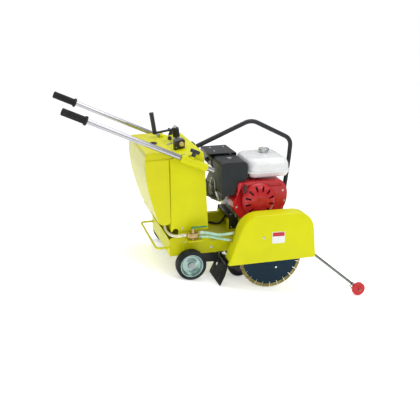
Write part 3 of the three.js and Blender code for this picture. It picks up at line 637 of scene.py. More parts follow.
def casing(outline, y0, y1, edge, wall, floor=None, open_back=False, steps=8):
    """Pressed sheet casing: flat faces, a rim with rolled edges between them, and a real wall thickness."""
    closed = floor is None
    turns = [(edge * (1 - sin(a)), edge * (1 - cos(a)))
        for a in (pi / 2 * k / steps for k in range(steps + 1))]
    sections = [] if open_back else [(inset, y0 + depth) for inset, depth in turns]
    if open_back:
        sections = [(0, y0)]
    sections += [(inset, y1 - depth) for inset, depth in reversed(turns)]
    bm = bmesh.new()
    rings = []
    for inset, y in sections:
        rings.append([bm.verts.new((p.x, y, p.y)) for p in inset_outline(outline, inset, floor)])
    skin(bm, rings, len(outline) if closed else len(outline) - 1)
    if not open_back:
        bm.faces.new(rings[0])
    bm.faces.new(rings[-1])
    bmesh.ops.recalc_face_normals(bm, faces=bm.faces)
    top = max(bm.faces, key=lambda f: f.calc_center_median().z)
    if top.normal.z < 0:
        bmesh.ops.reverse_faces(bm, faces=bm.faces)
    bmesh.ops.solidify(bm, geom=bm.faces[:], thickness=wall)
    bmesh.ops.recalc_face_normals(bm, faces=bm.faces)
    return bm


GUARD_NEAR, GUARD_FAR, GUARD_FLOOR, GUARD_EDGE = -390.6, -294.6, 84.5, 10


def build_guard():
    outline = rounded([(164, 40), (277, 345, 88), (649, 341, 104), (676, 40)], 20)
    shell = casing(outline, GUARD_NEAR, GUARD_FAR, GUARD_EDGE, 3, GUARD_FLOOR)
    notch = slab((366, 496), (GUARD_FAR - 8, GUARD_FAR + 4), (40, 152), 1)
    cover("blade_guard", cut_out(shell, notch), "yellow", sharp=38)
    heads = bolt((372, GUARD_NEAR, 222), RIGHT, 6)
    heads += bolts([(x, GUARD_FAR, 130) for x in (330, 540)], LEFT, 6)
    make("guard_bolts", heads, "zinc")
    plate = rounded([(418, 186, 8), (418, 250, 8), (489, 248, 8), (489, 184, 8)], 6)
    band = rounded([(421, 225), (421, 247, 6), (486, 245, 6), (486, 223)], 6)
    make("guard_plate", prism(plate, GUARD_NEAR - 0.9, GUARD_NEAR - 0.05, 0.3, 2), "white")
    make("guard_plate_band", prism(band, GUARD_NEAR - 1.2, GUARD_NEAR - 0.92, 0.1, 1), "red")


PULLEY = {"y0": 250, "y1": 282, "blade": 60, "engine": 50}


def belt_outline(grow, steps=40):
    """Two pulley circles and their outer tangents, as one closed outline."""
    low, high = Vector((431, 92.6)), Vector((400, 375))
    radii = PULLEY["blade"] - 9 + grow, PULLEY["engine"] - 9 + grow
    run = high - low
    lean, wrap = atan2(run.y, run.x), acos((radii[0] - radii[1]) / run.length)
    outline = []
    for centre, radius, start, sweep_angle in ((high, radii[1], lean - wrap, 2 * wrap),
        (low, radii[0], lean + wrap, 2 * pi - 2 * wrap)):
        angles = [start + sweep_angle * k / steps for k in range(steps + 1)]
        outline += [centre + radius * Vector((cos(a), sin(a))) for a in angles]
    return outline


def build_belt_drive():
    y_back, y_front = 235.6, 302
    shell = casing(belt_outline(32)[::-1], y_back, y_front, 8, 3, open_back=True)
    cover("belt_cover", shell, "yellow", sharp=38)
    heads = [(x, y_front - 0.4, z) for x, z in ((431, 40), (446, 200), (384, 280), (396, 430))]
    fasten("belt_cover_bolts", heads, LEFT, 6)
    inner, outer = belt_outline(0.7, 32), belt_outline(8.5, 32)
    belt = bmesh.new()
    y0, y1 = PULLEY["y0"] + 13, PULLEY["y1"] - 13
    loops = []
    for line, y in ((inner, y0 + 1), (outer, y0), (outer, y1), (inner, y1 - 1)):
        loops.append([belt.verts.new((p.x, y, p.y)) for p in line])
    skin(belt, loops + loops[:1])
    bmesh.ops.recalc_face_normals(belt, faces=belt.faces)
    cover("drive_belt", belt, "belt")
    for side in ("right", "left"):
        node = f"arbor_bearing_{side}"
        cover(node, refined(node, 1.6, 3), "black")


# ------------------------------------------------------------------ console, tank and controls


def panel_point(x, y, off=0):
    """A point on the sloping control panel, or that far above it."""
    run = Vector((85 + 61, 0, 669 - 643)).normalized()
    foot = Vector((-61, y, 643)) + run * ((x + 61) / run.x)
    return foot + off * PANEL_UP


PANEL_UP = Vector((-(669 - 643), 0, 85 + 61)).normalized()


def build_console():
    side = span("console_shell")[1].y
    cover("console_shell", refined("console_shell", 1.6, 3), "yellow")
    front = [(109.5 - (z - 248) * 0.052, y, z) for z in (290, 560) for y in (-200, 200)]
    heads = bolts(front, (1, 0, 0.05), 6)
    for s in (-1, 1):
        heads += bolts([(x, s * side, 265) for x in (-30, 60)], (0, s, 0), 5)
    make("console_bolts", heads, "zinc")
    washer = lathe([(12, 0), (24, 0), (25, 1), (24, 2.4), (12, 2.4), (12, 0)],
        aim(panel_point(36, 140, 0.2), PANEL_UP), 48)
    plate = slab((-40, 40), (-11, 11), (0, 1.6), 0.8)
    lever_gap = slab((-32, 32), (-4, 4), (-4, 6), 0.5)
    plate = cut_out(plate, lever_gap)
    plate.transform(Matrix.Translation(panel_point(0, 59, 0.1)) @ Matrix.Rotation(-atan2(26, 146), 4, "Y"))
    make("panel_plates", [washer, plate], "zinc")


def build_tank():
    half, inset = span("water_tank")[1].y, 9
    lower = prism(rounded([(-92.5, 291, 16), (-92.5, 640), (-217, 640), (-222, 600), (-216, 540),
                (-205, 472), (-186, 400), (-153, 291, 20)], 8), -half, half, 8, 5)
    upper = prism(rounded([(-92.5, 560), (-92.5, 645), (-66, 651), (-66, 676, 16), (-218, 676, 24),
                (-221.5, 600), (-219, 560)], 8), inset - half, half - inset, 9, 5)
    x, y, top, radius = -133, -28, 676, 15
    upper = cut_out(upper, bar((x, y, top - 30), (x, y, top + 5), radius, 0.1))
    collar = lathe([(radius, -6), (radius + 4, -6), (radius + 4, 1.2), (radius + 3.2, 2), (radius, 2),
            (radius, -6)], aim((x, y, top), UP), 48)
    cover("water_tank", [lower, upper, collar], "tank", sharp=30)
    r = radius + 6
    head = lathe([(0, -12), (radius - 1, -12), (radius - 1, 2.3), (r - 1, 2.3), (r, 3.2), (r, 6),
            (r - 1.2, 7), (0, 7)], aim((x, y, top), UP), 60)
    ribs = [slab((r - 1.2, r), (-1, 1), (2.8, 6.4), 0.4, 2,
            Matrix.Translation((x, y, top)) @ Matrix.Rotation(2 * pi * k / 24, 4, "Z")) for k in range(24)]
    wing = slab((x - 13, x + 13), (y - 3, y + 3), (top + 6, top + 11), 1.4)
    cover("filler_cap", [head, wing] + ribs, "plastic", "filler_cap")


def build_controls():
    outline = rounded([(-30, 649.5), (-30, 697, 9), (26, 706, 9), (26, 659.5)], 10)
    box = prism(outline, -92, -50, 5, 5)
    socket = lathe([(12.4, 0), (17, 0), (17, 2.2), (16, 3.2), (13, 3.2), (12.4, 2.6), (12.4, 0)],
        aim((6, -91.6, 682), RIGHT), 48)
    hollow = bar((6, -95, 682), (6, -80, 682), 12.3, 0.1)
    cover("switch_box", [cut_out(box, hollow), socket], "plastic")
    fasten("switch_screws", [(-22, -92, 664), (19, -92, 671)], RIGHT, 2.6)
    button = lathe([(0, 0), (12, 0), (12, 15), (11, 17), (8, 18), (0, 17.4)], aim((6, -88, 682), RIGHT), 60)
    cover("stop_button", button, "amber", "stop_button")

    foot, tip = Vector((-6, 59, 634)), Vector((-23, 59, 683))
    stem = bar(foot, tip, 3.5, 0.3)
    ball = lathe([(0, -12)] + [(12 * cos(a), 12 * sin(a)) for a in (radians(d) for d in range(-75, 76, 10))]
        + [(0, 12)], aim(tip, tip - foot, LEFT), 48)
    hub = lathe([(0, -6), (10, -6), (10, 6), (0, 6)], aim((-6, 59, 634)), 40)
    cover("throttle_lever", [ball], "plastic", "throttle")
    make("throttle_stem", [stem, hub], "zinc", "throttle")


# ------------------------------------------------------------------ handles

SLOPE = radians(-24.65)
TUBE_DIRECTION = Vector((-cos(SLOPE), 0, -sin(SLOPE)))
TUBE_UP = Vector((-sin(SLOPE), 0, cos(SLOPE)))
TUBE_Y, TUBE_LENGTH, GRIP_LENGTH = 266.6, 818.5, 122
# How far up the tube the lock screw stands.
LOCK_UP = 133


def handle_point(side, up, off=0):
    return Vector((133.1, side * TUBE_Y, 572)) + up * TUBE_DIRECTION + off * TUBE_UP


def build_handle(name, side):
    body = f"handle_{name}"
    start = handle_point(side, 0)
    place = aim(start, TUBE_DIRECTION, LEFT)
    tube = lathe([(11.3, 30), (11.3, 0.6), (11.7, 0), (13.1, 0), (13.5, 0.6), (13.5, TUBE_LENGTH),
            (11.3, TUBE_LENGTH), (11.3, 30)], place, 56)
    plug = lathe([(0, 6), (11.3, 6), (11.3, 8), (0, 8)], place, 40)
    cover(f"handle_tube_{name}", [tube, plug], "chrome", body)
    g = TUBE_LENGTH - GRIP_LENGTH
    profile = [(13.8, g), (23, g), (24, g + 1.5), (24, g + 9), (22.5, g + 12), (19.4, g + 14)]
    ridge = 6
    for k in range(int((GRIP_LENGTH - 34) / ridge)):
        y = g + 16 + k * ridge
        profile += [(18.0, y), (18.9, y + 0.8), (19, y + 3.6), (18.1, y + 4.6)]
    end = TUBE_LENGTH + 6
    profile += [(18.6, end - 12), (18.8, end - 5), (17.5, end - 1.5), (14, end), (0, end),
        (0, TUBE_LENGTH + 0.4), (13.8, TUBE_LENGTH + 0.4), (13.8, g)]
    cover(f"handle_grip_{name}", lathe(profile, place, 60), "grip", body, sharp=28)

    sleeve = lathe([(13.8, 40), (19.5, 40), (20.5, 41), (20.5, 189), (19.5, 190), (13.8, 190), (13.8, 40)],
        place, 56)
    boss = bar(handle_point(side, LOCK_UP, 12), handle_point(side, LOCK_UP, 28), 11, 1)
    inward = Vector((0, side * 18.5, 0))
    welds = [sweep([handle_point(side, up, off) - inward for up in (44, 186)], 3, 12) for off in (-8, 8)]
    cover(f"handle_sleeve_{name}", [sleeve, boss] + welds, "yellow")
    pin = lathe([(0, -3), (3.4, -3), (3.6, 1), (3.6, 4), (2.6, 5), (0, 5)],
        aim(handle_point(side, 183, 20), TUBE_UP, LEFT), 24)
    make(f"sleeve_pin_{name}", pin, "steel")

    knob = aim(handle_point(side, LOCK_UP), TUBE_UP, TUBE_DIRECTION)
    wing = rounded([(-26, -7, 6.5), (-26, 7, 6.5), (26, 7, 6.5), (26, -7, 6.5)], 8)
    head = prism(wing, 47, 65, 2.6, 5, knob)
    hub = lathe([(0, 28.4), (10.4, 28.4), (11, 29), (11, 45), (11.6, 57), (0, 57)], knob, 48)
    cover(f"lock_knob_{name}", [head, hub], "plastic", f"lock_knob_{name}", sharp=30)
    stem = bar(handle_point(side, LOCK_UP, 14.5), handle_point(side, LOCK_UP, 40), 5)
    make(f"lock_stem_{name}", stem, "zinc", f"lock_knob_{name}")


# ------------------------------------------------------------------ depth crank and carriage

CRANK_TILT = radians(8.4)
CRANK_UP = Vector((-sin(CRANK_TILT), 0, cos(CRANK_TILT)))
CRANK_BACK = Vector((-cos(CRANK_TILT), 0, -sin(CRANK_TILT)))
CRANK_FOOT = Vector((35, 140, 662))
ARM_HEIGHT, ARM_REACH = 54, 118


def build_crank():
    place = aim(CRANK_FOOT, CRANK_UP, CRANK_BACK)
    hub = lathe([(0, 8), (18, 8), (20, 10), (20, ARM_HEIGHT + 4), (17, ARM_HEIGHT + 8),
            (0, ARM_HEIGHT + 8)], place, 60)
    outline = rounded([(-14, -11, 9), (-14, 11, 9), (ARM_REACH + 12, 11, 10), (ARM_REACH + 12, -11, 10)],
        10)
    arm = prism(outline, ARM_HEIGHT - 4, ARM_HEIGHT + 4, 1.8, 3, place)
    pin_place = aim(CRANK_FOOT + ARM_HEIGHT * CRANK_UP + ARM_REACH * CRANK_BACK, CRANK_UP, CRANK_BACK)
    pin = lathe([(0, -6), (8, -6), (9, -5), (9, -3.8), (6, -3.8), (6, 111.6), (0, 111.6)], pin_place, 36)
    cover("depth_crank", [hub, arm, pin], "black", "crank")
    cap = lathe([(0, ARM_HEIGHT + 6), (9, ARM_HEIGHT + 6), (9, ARM_HEIGHT + 17), (7, ARM_HEIGHT + 20),
            (0, ARM_HEIGHT + 20)], place, 40)
    make("crank_nut", cap, "zinc", "crank")
    profile = [(6.3, 6), (12, 6), (13, 7.5), (13, 12), (11.4, 15)]
    for k in range(9):
        y = 19 + k * 9.4
        profile += [(11.6, y), (12.4, y + 1.4), (12.4, y + 5.6), (11.6, y + 7)]
    profile += [(12.2, 106), (13, 110), (12.6, 114), (10.5, 116), (0, 116), (0, 112.4), (6.3, 112.4),
        (6.3, 6)]
    cover("crank_grip", lathe(profile, pin_place, 48), "plastic", "crank_grip", sharp=28)
    pitch = 6.0
    thread = [(0, -640)]
    for k in range(int(180 / pitch)):
        y = -636 + k * pitch
        thread += [(6.6, y), (8, y + 1.6), (8, y + 3.0), (6.6, y + 4.6)]
    thread += [(7.8, -450), (7.8, 7.4), (0, 7.4)]
    cover("depth_screw", lathe(thread, place, 36), "steel", "crank", sharp=28)


def build_carriage():
    cover("carriage_frame", refined("carriage_frame", 1.6, 3), "black", "carriage")
    end = span("carriage_frame")[1].y
    wheel = middle("front_wheel_right")
    nuts = [part for s in (-1, 1) for part in bolt((wheel.x, s * (end - 8), wheel.z), (0, s, 0), 8)]
    make("carriage_nuts", nuts, "zinc", "carriage")


def build_wheels():
    for name in ("right", "left"):
        centre = middle(f"rear_tyre_{name}")
        side = -1 if name == "right" else 1
        place = aim(centre, (0, side, 0))
        r, w, rim = 80, 31, 62
        tyre = symmetric([(rim + 0.3, w - 5), (rim + 3, w - 1.5), (r - 9, w), (r - 4, w - 2.5),
                (r - 0.8, w - 8), (r, w - 13), (r, 6), (r - 1.6, 5.4), (r - 1.6, 3.8), (r, 3.2)])
        body = f"rear_wheel_{name}"
        cover(f"rear_tyre_{name}", lathe(tyre, place, 96), "tyre", body)
        disc = [(10.3, -22), (18, -22), (19, -21), (19, -9), (22, -7), (44, -7), (50, -10), (55, -24),
            (58, -27), (61.7, -26)]
        disc += [(61.7, 26), (60.6, 27), (57.6, 27), (56.4, 25.6), (54, 16), (50.4, 9.4), (46, 6.4),
            (34, 7.6), (26, 11.5), (21, 12.5), (19, 15), (19, 21), (18, 22), (10.3, 22), (10.3, -22)]
        cover(f"rear_rim_{name}", lathe(disc, place, 96), "rim", body, sharp=40)
        collar = lathe([(10.4, 22.6), (17, 22.6), (17.4, 23.4), (17, 26.4), (10.4, 27), (10.4, 22.6)],
            place, 48)
        make(f"hub_washer_{name}", collar, "steel")
        pin = bar(centre + Vector((-13, side * 28, 0)), centre + Vector((13, side * 28, 0)), 1.6, 0.4, 16)
        make(f"split_pin_{name}", pin, "steel")
        front = middle(f"front_wheel_{name}")
        f, h = 60, 20
        tread = symmetric([(10.3, h + 3), (20, h + 3), (22, h + 1), (22, h - 3), (34, h - 4.5), (46, h - 3),
                (50, h), (f - 5, h), (f - 1, h - 2.5), (f, h - 6)])
        cover(f"front_wheel_{name}", lathe(tread, aim(front, (0, side, 0)), 80), "tyre",
            f"front_wheel_{name}")


# ------------------------------------------------------------------ blade

BLADE = {"radius": 175, "core": 157, "slot_foot": 147, "thick": 3.2, "segments": 24}


def ring_cells(radii, gap_from, half, cells=14):
    """A flat ring with a cell left out of every segment beyond gap_from, as a closed plate."""
    bm = bmesh.new()
    total = BLADE["segments"] * cells
    grid = {}

    def corner(k, i, s):
        key = (k, i % total, s)
        if key not in grid:
            a = 2 * pi * (i % total) / total
            grid[key] = bm.verts.new((radii[k] * sin(a), s * half, radii[k] * cos(a)))
        return grid[key]

    for s in (-1, 1):
        for k in range(len(radii) - 1):
            for i in range(total):
                if radii[k] >= gap_from and i % cells == 0:
                    continue
                bm.faces.new([corner(k, i, s), corner(k, i + 1, s), corner(k + 1, i + 1, s),
                        corner(k + 1, i, s)])
    rims = [e for e in bm.edges if e.is_boundary and e.verts[0].co.y < 0]
    for e in rims:
        a, b = e.verts
        twin = {v: grid[(key[0], key[1], 1)] for key, v in list(grid.items()) if v in (a, b)}
        bm.faces.new((a, b, twin[b], twin[a]))
    bmesh.ops.recalc_face_normals(bm, faces=bm.faces)
    return bm


def build_blade():
    centre = middle("saw_blade")
    place = aim(centre)
    core = ring_cells([13, 52, 100, BLADE["slot_foot"], BLADE["core"]], BLADE["slot_foot"],
        BLADE["thick"] / 2 - 0.25)
    hole = bar((33, -5, -66), (33, 5, -66), 5.5, 0.1, 32)
    core = cut_out(core, hole)
    core.transform(place)
    make("saw_blade_core", core, "blade", "blade", stands_for=["saw_blade"], sharp=40)
    rim = ring_cells([BLADE["core"], BLADE["radius"]], BLADE["core"], BLADE["thick"] / 2)
    rim.transform(place)
    make("saw_blade_segments", rim, "rim_segments", "blade", sharp=40)
    flange = [(0, -23), (12, -23), (14, -21.5), (14, -10), (18, -9.4), (48, -8), (51, -5), (52, -2),
        (30, -2), (30, -1.9), (0, -1.9)]
    # Painted shade: the flange takes the blade core's near-black look to stand for the shadow under the
    # guard.
    cover("blade_flange", lathe(flange, place, 72), "blade", "blade")
    reach = PULLEY["y1"] + 4 - centre.y
    shaft = [(0, -1.4), (12.5, -1.4), (12.5, 1.9), (52, 2), (51, 6), (47, 8), (24, 12), (22, 14), (22, 30),
        (15, 30), (15, reach - 1.5), (13.5, reach), (0, reach)]
    cover("arbor_shaft", lathe(shaft, place, 64), "steel", "blade")
    cover("driven_pulley", pulley(PULLEY["blade"], 15.3, centre.x, centre.z), "steel", "blade")


def pulley(radius, bore, x, z):
    """A V-belt pulley on the belt's line."""
    h = (PULLEY["y1"] - PULLEY["y0"]) / 2
    profile = symmetric([(bore, h), (22, h), (24, h - 4), (radius - 14, h - 4), (radius - 8, h),
            (radius - 0.6, h), (radius, h - 1), (radius, h - 3), (radius - 9, h - 12)])
    return lathe(profile, aim((x, (PULLEY["y0"] + PULLEY["y1"]) / 2, z)), 72)


# ------------------------------------------------------------------ engine


def build_engine_block():
    cover("engine_mount", refined("engine_mount", 2, 3), "yellow")
    heads = bolts(mirrored([(284, 92, 262), (520, 92, 262)]), UP, 8)
    for x in (280, 522):
        for side in (-1, 1):
            heads += bolt((x, side * 108, DECK + 24), (0, side, 0), 6)
    make("mount_bolts", heads, "zinc")
    pads = [slab((271.4, 532.6), (-112.6, 112.6), (244.8, 262.4), 1.5)]
    for x, y in ((266, -110), (266, 110), (484, -110), (484, 110)):
        pads.append(slab((x, x + 54), (y - 1.8, y + 1.8), (186, 262), 1.2))
    make("engine_brackets", pads, "black")
    drain = [(324, 66, 240), (308, 60, 212), (286, 44, 203), (266, 28, 186), (246, 18, 179),
        (228, 20, 178.8), (205, 42, 178.8), (178, 56, 178.8), (145, 54, 178.8), (118, 46, 178.8)]
    make("drain_hose", sweep(smooth_line(drain, 10), 6, 24), "plastic")
    cover("crankcase", refined("crankcase", 1.6, 3), "alloy")
    plug = lathe([(0, 0), (10, 0), (10, 3), (0, 3)], aim((299, 60, 275), BACK), 32)
    filler = lathe([(0, 0), (15, 0), (17, 2), (17, 10), (15, 13), (0, 13)],
        aim((507, -60, 300), (1, 0, 0.1), LEFT), 48)
    make("oil_filler_cap", filler, "plastic")
    make("drain_plug", [plug] + bolt((297, 60, 275), BACK, 7), "zinc")
    ring = [radians(d) for d in range(20, 360, 60)]
    fasten("crankcase_bolts", [(400 + 78 * cos(a), 128.2, 355 + 78 * sin(a)) for a in ring], LEFT, 5)
    cover("engine_cylinder", refined("engine_cylinder", 1.0, 2), "alloy")
    lean = radians(24)
    head = Matrix.Translation((288, 46, 372)) @ Matrix.Rotation(lean, 4, "Y")
    boot = lathe([(0, 0), (9, 0), (10, 3), (8, 14), (8.5, 30), (6, 34), (0, 34)],
        head @ aim((-107, 20, -20), BACK), 36)
    lead = sweep(smooth_line([head @ Vector(p) for p in ((-138, 20, -20), (-150, 8, -14), (-140, -22, 6),
                    (-104, -58, 10), (-60, -72, 8), (-20, -70, 14))]), 3.2, 16)
    make("spark_plug_lead", [boot, lead], "plastic")
    corners = [head @ Vector((-107.2, y, z)) for y in (-46, 46) for z in (-48, 48)]
    fasten("head_bolts", corners, (-cos(lean), 0, sin(lean)), 5)
    shaft = bar((400, 70, 375), (400, PULLEY["y1"] + 4, 375), 12, 1, 48)
    cover("engine_shaft", [shaft, pulley(PULLEY["engine"], 12.2, 400, 375)], "steel", "engine_output")


def build_fan_cover():
    outline = rounded([(285, 478, 14), (281, 406, 8), (256, 382, 10), (258, 334, 20), (306, 268, 34),
            (480, 262, 44), (560, 330, 54), (566, 430, 36), (532, 478, 16)], 12)
    shell = prism(outline, -216, -118.3, 11, 6)
    well = rounded([(300, 462, 10), (520, 462, 10), (536, 446, 10), (300, 446, 8)], 6)
    vents = [slab((x, x + 5), (-220, -209), (288, 306), 0.6) for x in range(330, 452, 11)]
    shell = cut_out(shell, prism(well, -222, -210.5, 1), *vents)
    cover("fan_cover", shell, "red", sharp=30)
    heads = [(276, -216, 345), (330, -216, 284), (548, -216, 360), (538, -216, 420)]
    fasten("fan_cover_bolts", heads, RIGHT, 5)


def build_recoil():
    place = aim((400, -216.3, 375), RIGHT)
    dish = lathe([(0, 26), (38, 26), (56, 23), (77, 16), (89, 6), (90, 0), (95, 0), (96, 1), (95, 4),
            (92, 9), (86, 15), (80, 20), (70, 24), (58, 27), (48, 28), (44, 30), (14, 30), (10, 28.5),
            (0, 28.5)], place, 96)
    slots = []
    for k in range(12):
        tool = prism(rounded([(52, -4, 2), (52, 4, 2), (82, 6, 2), (82, -6, 2)], 4), 8, 40, 0.3, 1)
        tool.transform(place @ Matrix.Rotation(2 * pi * (k + 0.5) / 12, 4, "Y"))
        slots.append(tool)
    cover("recoil_cover", cut_out(dish, *slots), "red", sharp=30)
    fan = lathe([(0, 1), (84, 1), (84, 3), (60, 9), (0, 12)], place, 64)
    make("fan_screen", fan, "black")
    ring = [radians(d) for d in (45, 135, 225, 315)]
    fasten("recoil_bolts", [(400 + 90 * cos(a), -218, 375 + 90 * sin(a)) for a in ring], RIGHT, 5)
    handle = lathe([(0, -23), (5, -23), (7.4, -20), (8, -14), (7, -4), (7, 4), (8, 14), (7.4, 20), (5, 23),
            (0, 23)], aim((318, -232, 447), UP), 40)
    stem = bar((318, -231, 447), (318, -217.3, 447), 4, 0.6, 24)
    cover("recoil_grip", [handle, stem], "plastic", "recoil_grip")


def build_fuel_tank():
    length, width = (352, 592), (-196, 84)
    pan = loft(length, width, [(486, 30), (486.6, 25), (489, 18), (494, 13), (504, 8), (517.5, 3)], 34)
    dome = loft(length, width, [(521.5, 2), (545, 3), (562, 6), (574, 11), (582, 18), (587, 27),
            (589.3, 38), (590, 52)], 44)
    seam = loft((347, 597), (-201, 89), [(517, 2), (517, 0.8), (517.8, 0), (521.2, 0), (522, 0.8),
            (522, 2)], 38)
    brim = (494, -20, 590)
    place = aim(brim, UP)
    neck = lathe([(0, -6), (27, -6), (26, -1), (22, 0.4), (20.2, 0.4), (0, 0.2)], place, 60)
    cover("fuel_tank", [pan, dome, seam, neck], "white", sharp=30)
    cap = lathe([(0, 0.5), (20, 0.5), (20, 9), (30, 9), (31, 10), (31, 19), (29.5, 22), (26, 23.4),
            (16, 24), (14, 22.6), (0, 22.6)], place, 72)
    turns = [Matrix.Translation(brim) @ Matrix.Rotation(2 * pi * k / 20, 4, "Z") for k in range(20)]
    knurl = [slab((30.2, 31), (-1.6, 1.6), (11, 18.5), 0.4, 2, turn) for turn in turns]
    cover("fuel_cap", [cap] + knurl, "zinc", "fuel_cap")
    brackets = [slab((x, x + 26), (y, y + 28), (466.5, 487), 1.5) for x, y in ((400, -150), (520, 40))]
    make("tank_brackets", brackets, "black")


def build_air_cleaner():
    low, high = span("air_cleaner")
    outline = rounded([(199, 408, 16), (194, 588, 24), (341, 588, 26), (343, 490, 18), (274, 486),
            (268, 408, 14)], 12)
    case = prism(outline, low.y, high.y, 15, 7)
    cover("air_cleaner", case, "cleaner", sharp=30)
    foot = Vector((266, -112, high.z - 0.8))
    knob = lathe([(0, 0), (11, 0), (11, 1.2), (4, 2), (4, 4), (8, 5), (8.6, 7), (7, 9), (0, 9.6)],
        aim(foot, UP), 40)
    wings = rounded([(-15, 3, 2), (-15, 10, 4), (-4, 8, 3), (4, 8, 3), (15, 10, 4), (15, 3, 2)], 4)
    wings = prism(wings, -2, 2, 0.8, 2, Matrix.Translation(foot))
    make("air_cleaner_nut", [knob, wings], "zinc")


def build_carburettor():
    body = refined("carburettor", 1.4, 3)
    throat = lathe([(13, -3), (18, -3), (19, -2), (19, 6), (13, 6), (13, -3)],
        aim((211, -48, 383), BACK, LEFT), 48)
    cover("carburettor", [body, throat], "alloy")
    screws = bolts([(222, -66.2, 390), (252, -66.2, 372)], RIGHT, 3)
    screws += bolts([(237, -48, 338.2)], DOWN, 5)
    make("carburettor_screws", screws, "brass")
    pivot = bar((240, -66.6, 381), (240, -92.6, 381), 6, 0.8, 32)
    arm = prism(rounded([(234, 375, 4), (283, 365, 6), (285, 379, 6), (243, 388, 5)], 8), -92.4, -87.4, 1,
        3)
    cover("choke_lever", [pivot, arm], "zinc", "choke_lever")
    governor = prism(rounded([(196, 398, 3), (204, 402, 3), (226, 340, 3), (218, 336, 3)], 5), -78, -75,
        0.8, 2)
    coil = [k * pi / 8 for k in range(176)]
    coil = [Vector((205 + 3.4 * cos(a), -72 + 3.4 * sin(a), 398 - a * 1.15)) for a in coil]
    spring = sweep(coil, 0.8, 8)
    loop = sweep(smooth_line([(166, -128, 404), (150, -150, 436), (144, -158, 466), (150, -150, 492),
                (164, -138, 498), (176, -130, 478), (180, -126, 446), (184, -118, 416)], 10), 2.6, 14)
    make("governor_link", [governor, spring, loop], "zinc")


def build_muffler():
    can = prism(rounded([(196, 512, 22), (196, 584, 22), (318, 584, 22), (318, 512, 22)], 10), 0, 160, 9, 5)
    pipe = bar((232, 46, 484), (232, 46, 520), 16, 1)
    outlet = lathe([(8, 0), (11, 0), (11, 27), (10.4, 28), (8, 28), (8, 0)],
        aim((210, 70, 548), BACK, LEFT), 40)
    loop = rounded([(195.4, 511.4, 22), (195.4, 584.6, 22), (318.6, 584.6, 22), (318.6, 511.4, 22)], 10)
    seam = sweep([Vector((p.x, 80, p.y)) for p in loop], 1.6, 10)
    cover("muffler", [can, pipe, outlet, seam], "black")
    cover("muffler_shield", refined("muffler_shield", 0.8, 2), "black")
    fasten("shield_bolts", [(222, 30, 599.6), (222, 118, 599.6), (300, 118, 599.6)], UP, 5)


# ------------------------------------------------------------------ water and cables

SUPPLY_ROUTE = [(-118, -205, 290.7), (-118, -205, 265), (-108, -214, 242), (-88, -240, 230),
    (-66, -266, 232), (-44, -281, 237), (-30, -282, 238), (-20.3, -282, 238)]
UPPER_ROUTE = [(50.3, -288, 248), (60, -288, 248), (100, -291, 242), (145, -298, 230), (188, -306, 231),
    (218, -311, 235), (229, -312, 236)]
LOWER_ROUTE = [(50.3, -276, 222), (60, -276, 222), (98, -282, 221), (138, -290, 213), (178, -302, 204),
    (205, -312, 201), (216, -316, 200)]
GUARD_HOSE = 7.5
CABLE_ROUTE = [(107, -120, 500), (122, -122, 494), (138, -130, 470), (134, -136, 430), (150, -128, 396),
    (178, -100, 381), (200, -58, 378), (210, -48, 378)]


def clip(point, direction, radius):
    """Worm-drive hose clip: a band, its screw housing and the screw."""
    place = aim(point, direction, UP)
    r = radius + 0.9
    band = lathe([(radius, -4), (r, -4), (r, 4), (radius, 4), (radius, -4)], place, 40)
    housing = slab((radius + 0.6, radius + 3.4), (-4.4, 4.4), (-3, 3), 0.7, 2, place)
    screw = bar(place @ Vector((radius + 2.4, 0, -6)), place @ Vector((radius + 2.4, 0, 6)), 1.6, 0.3, 16)
    return [band, housing, screw]


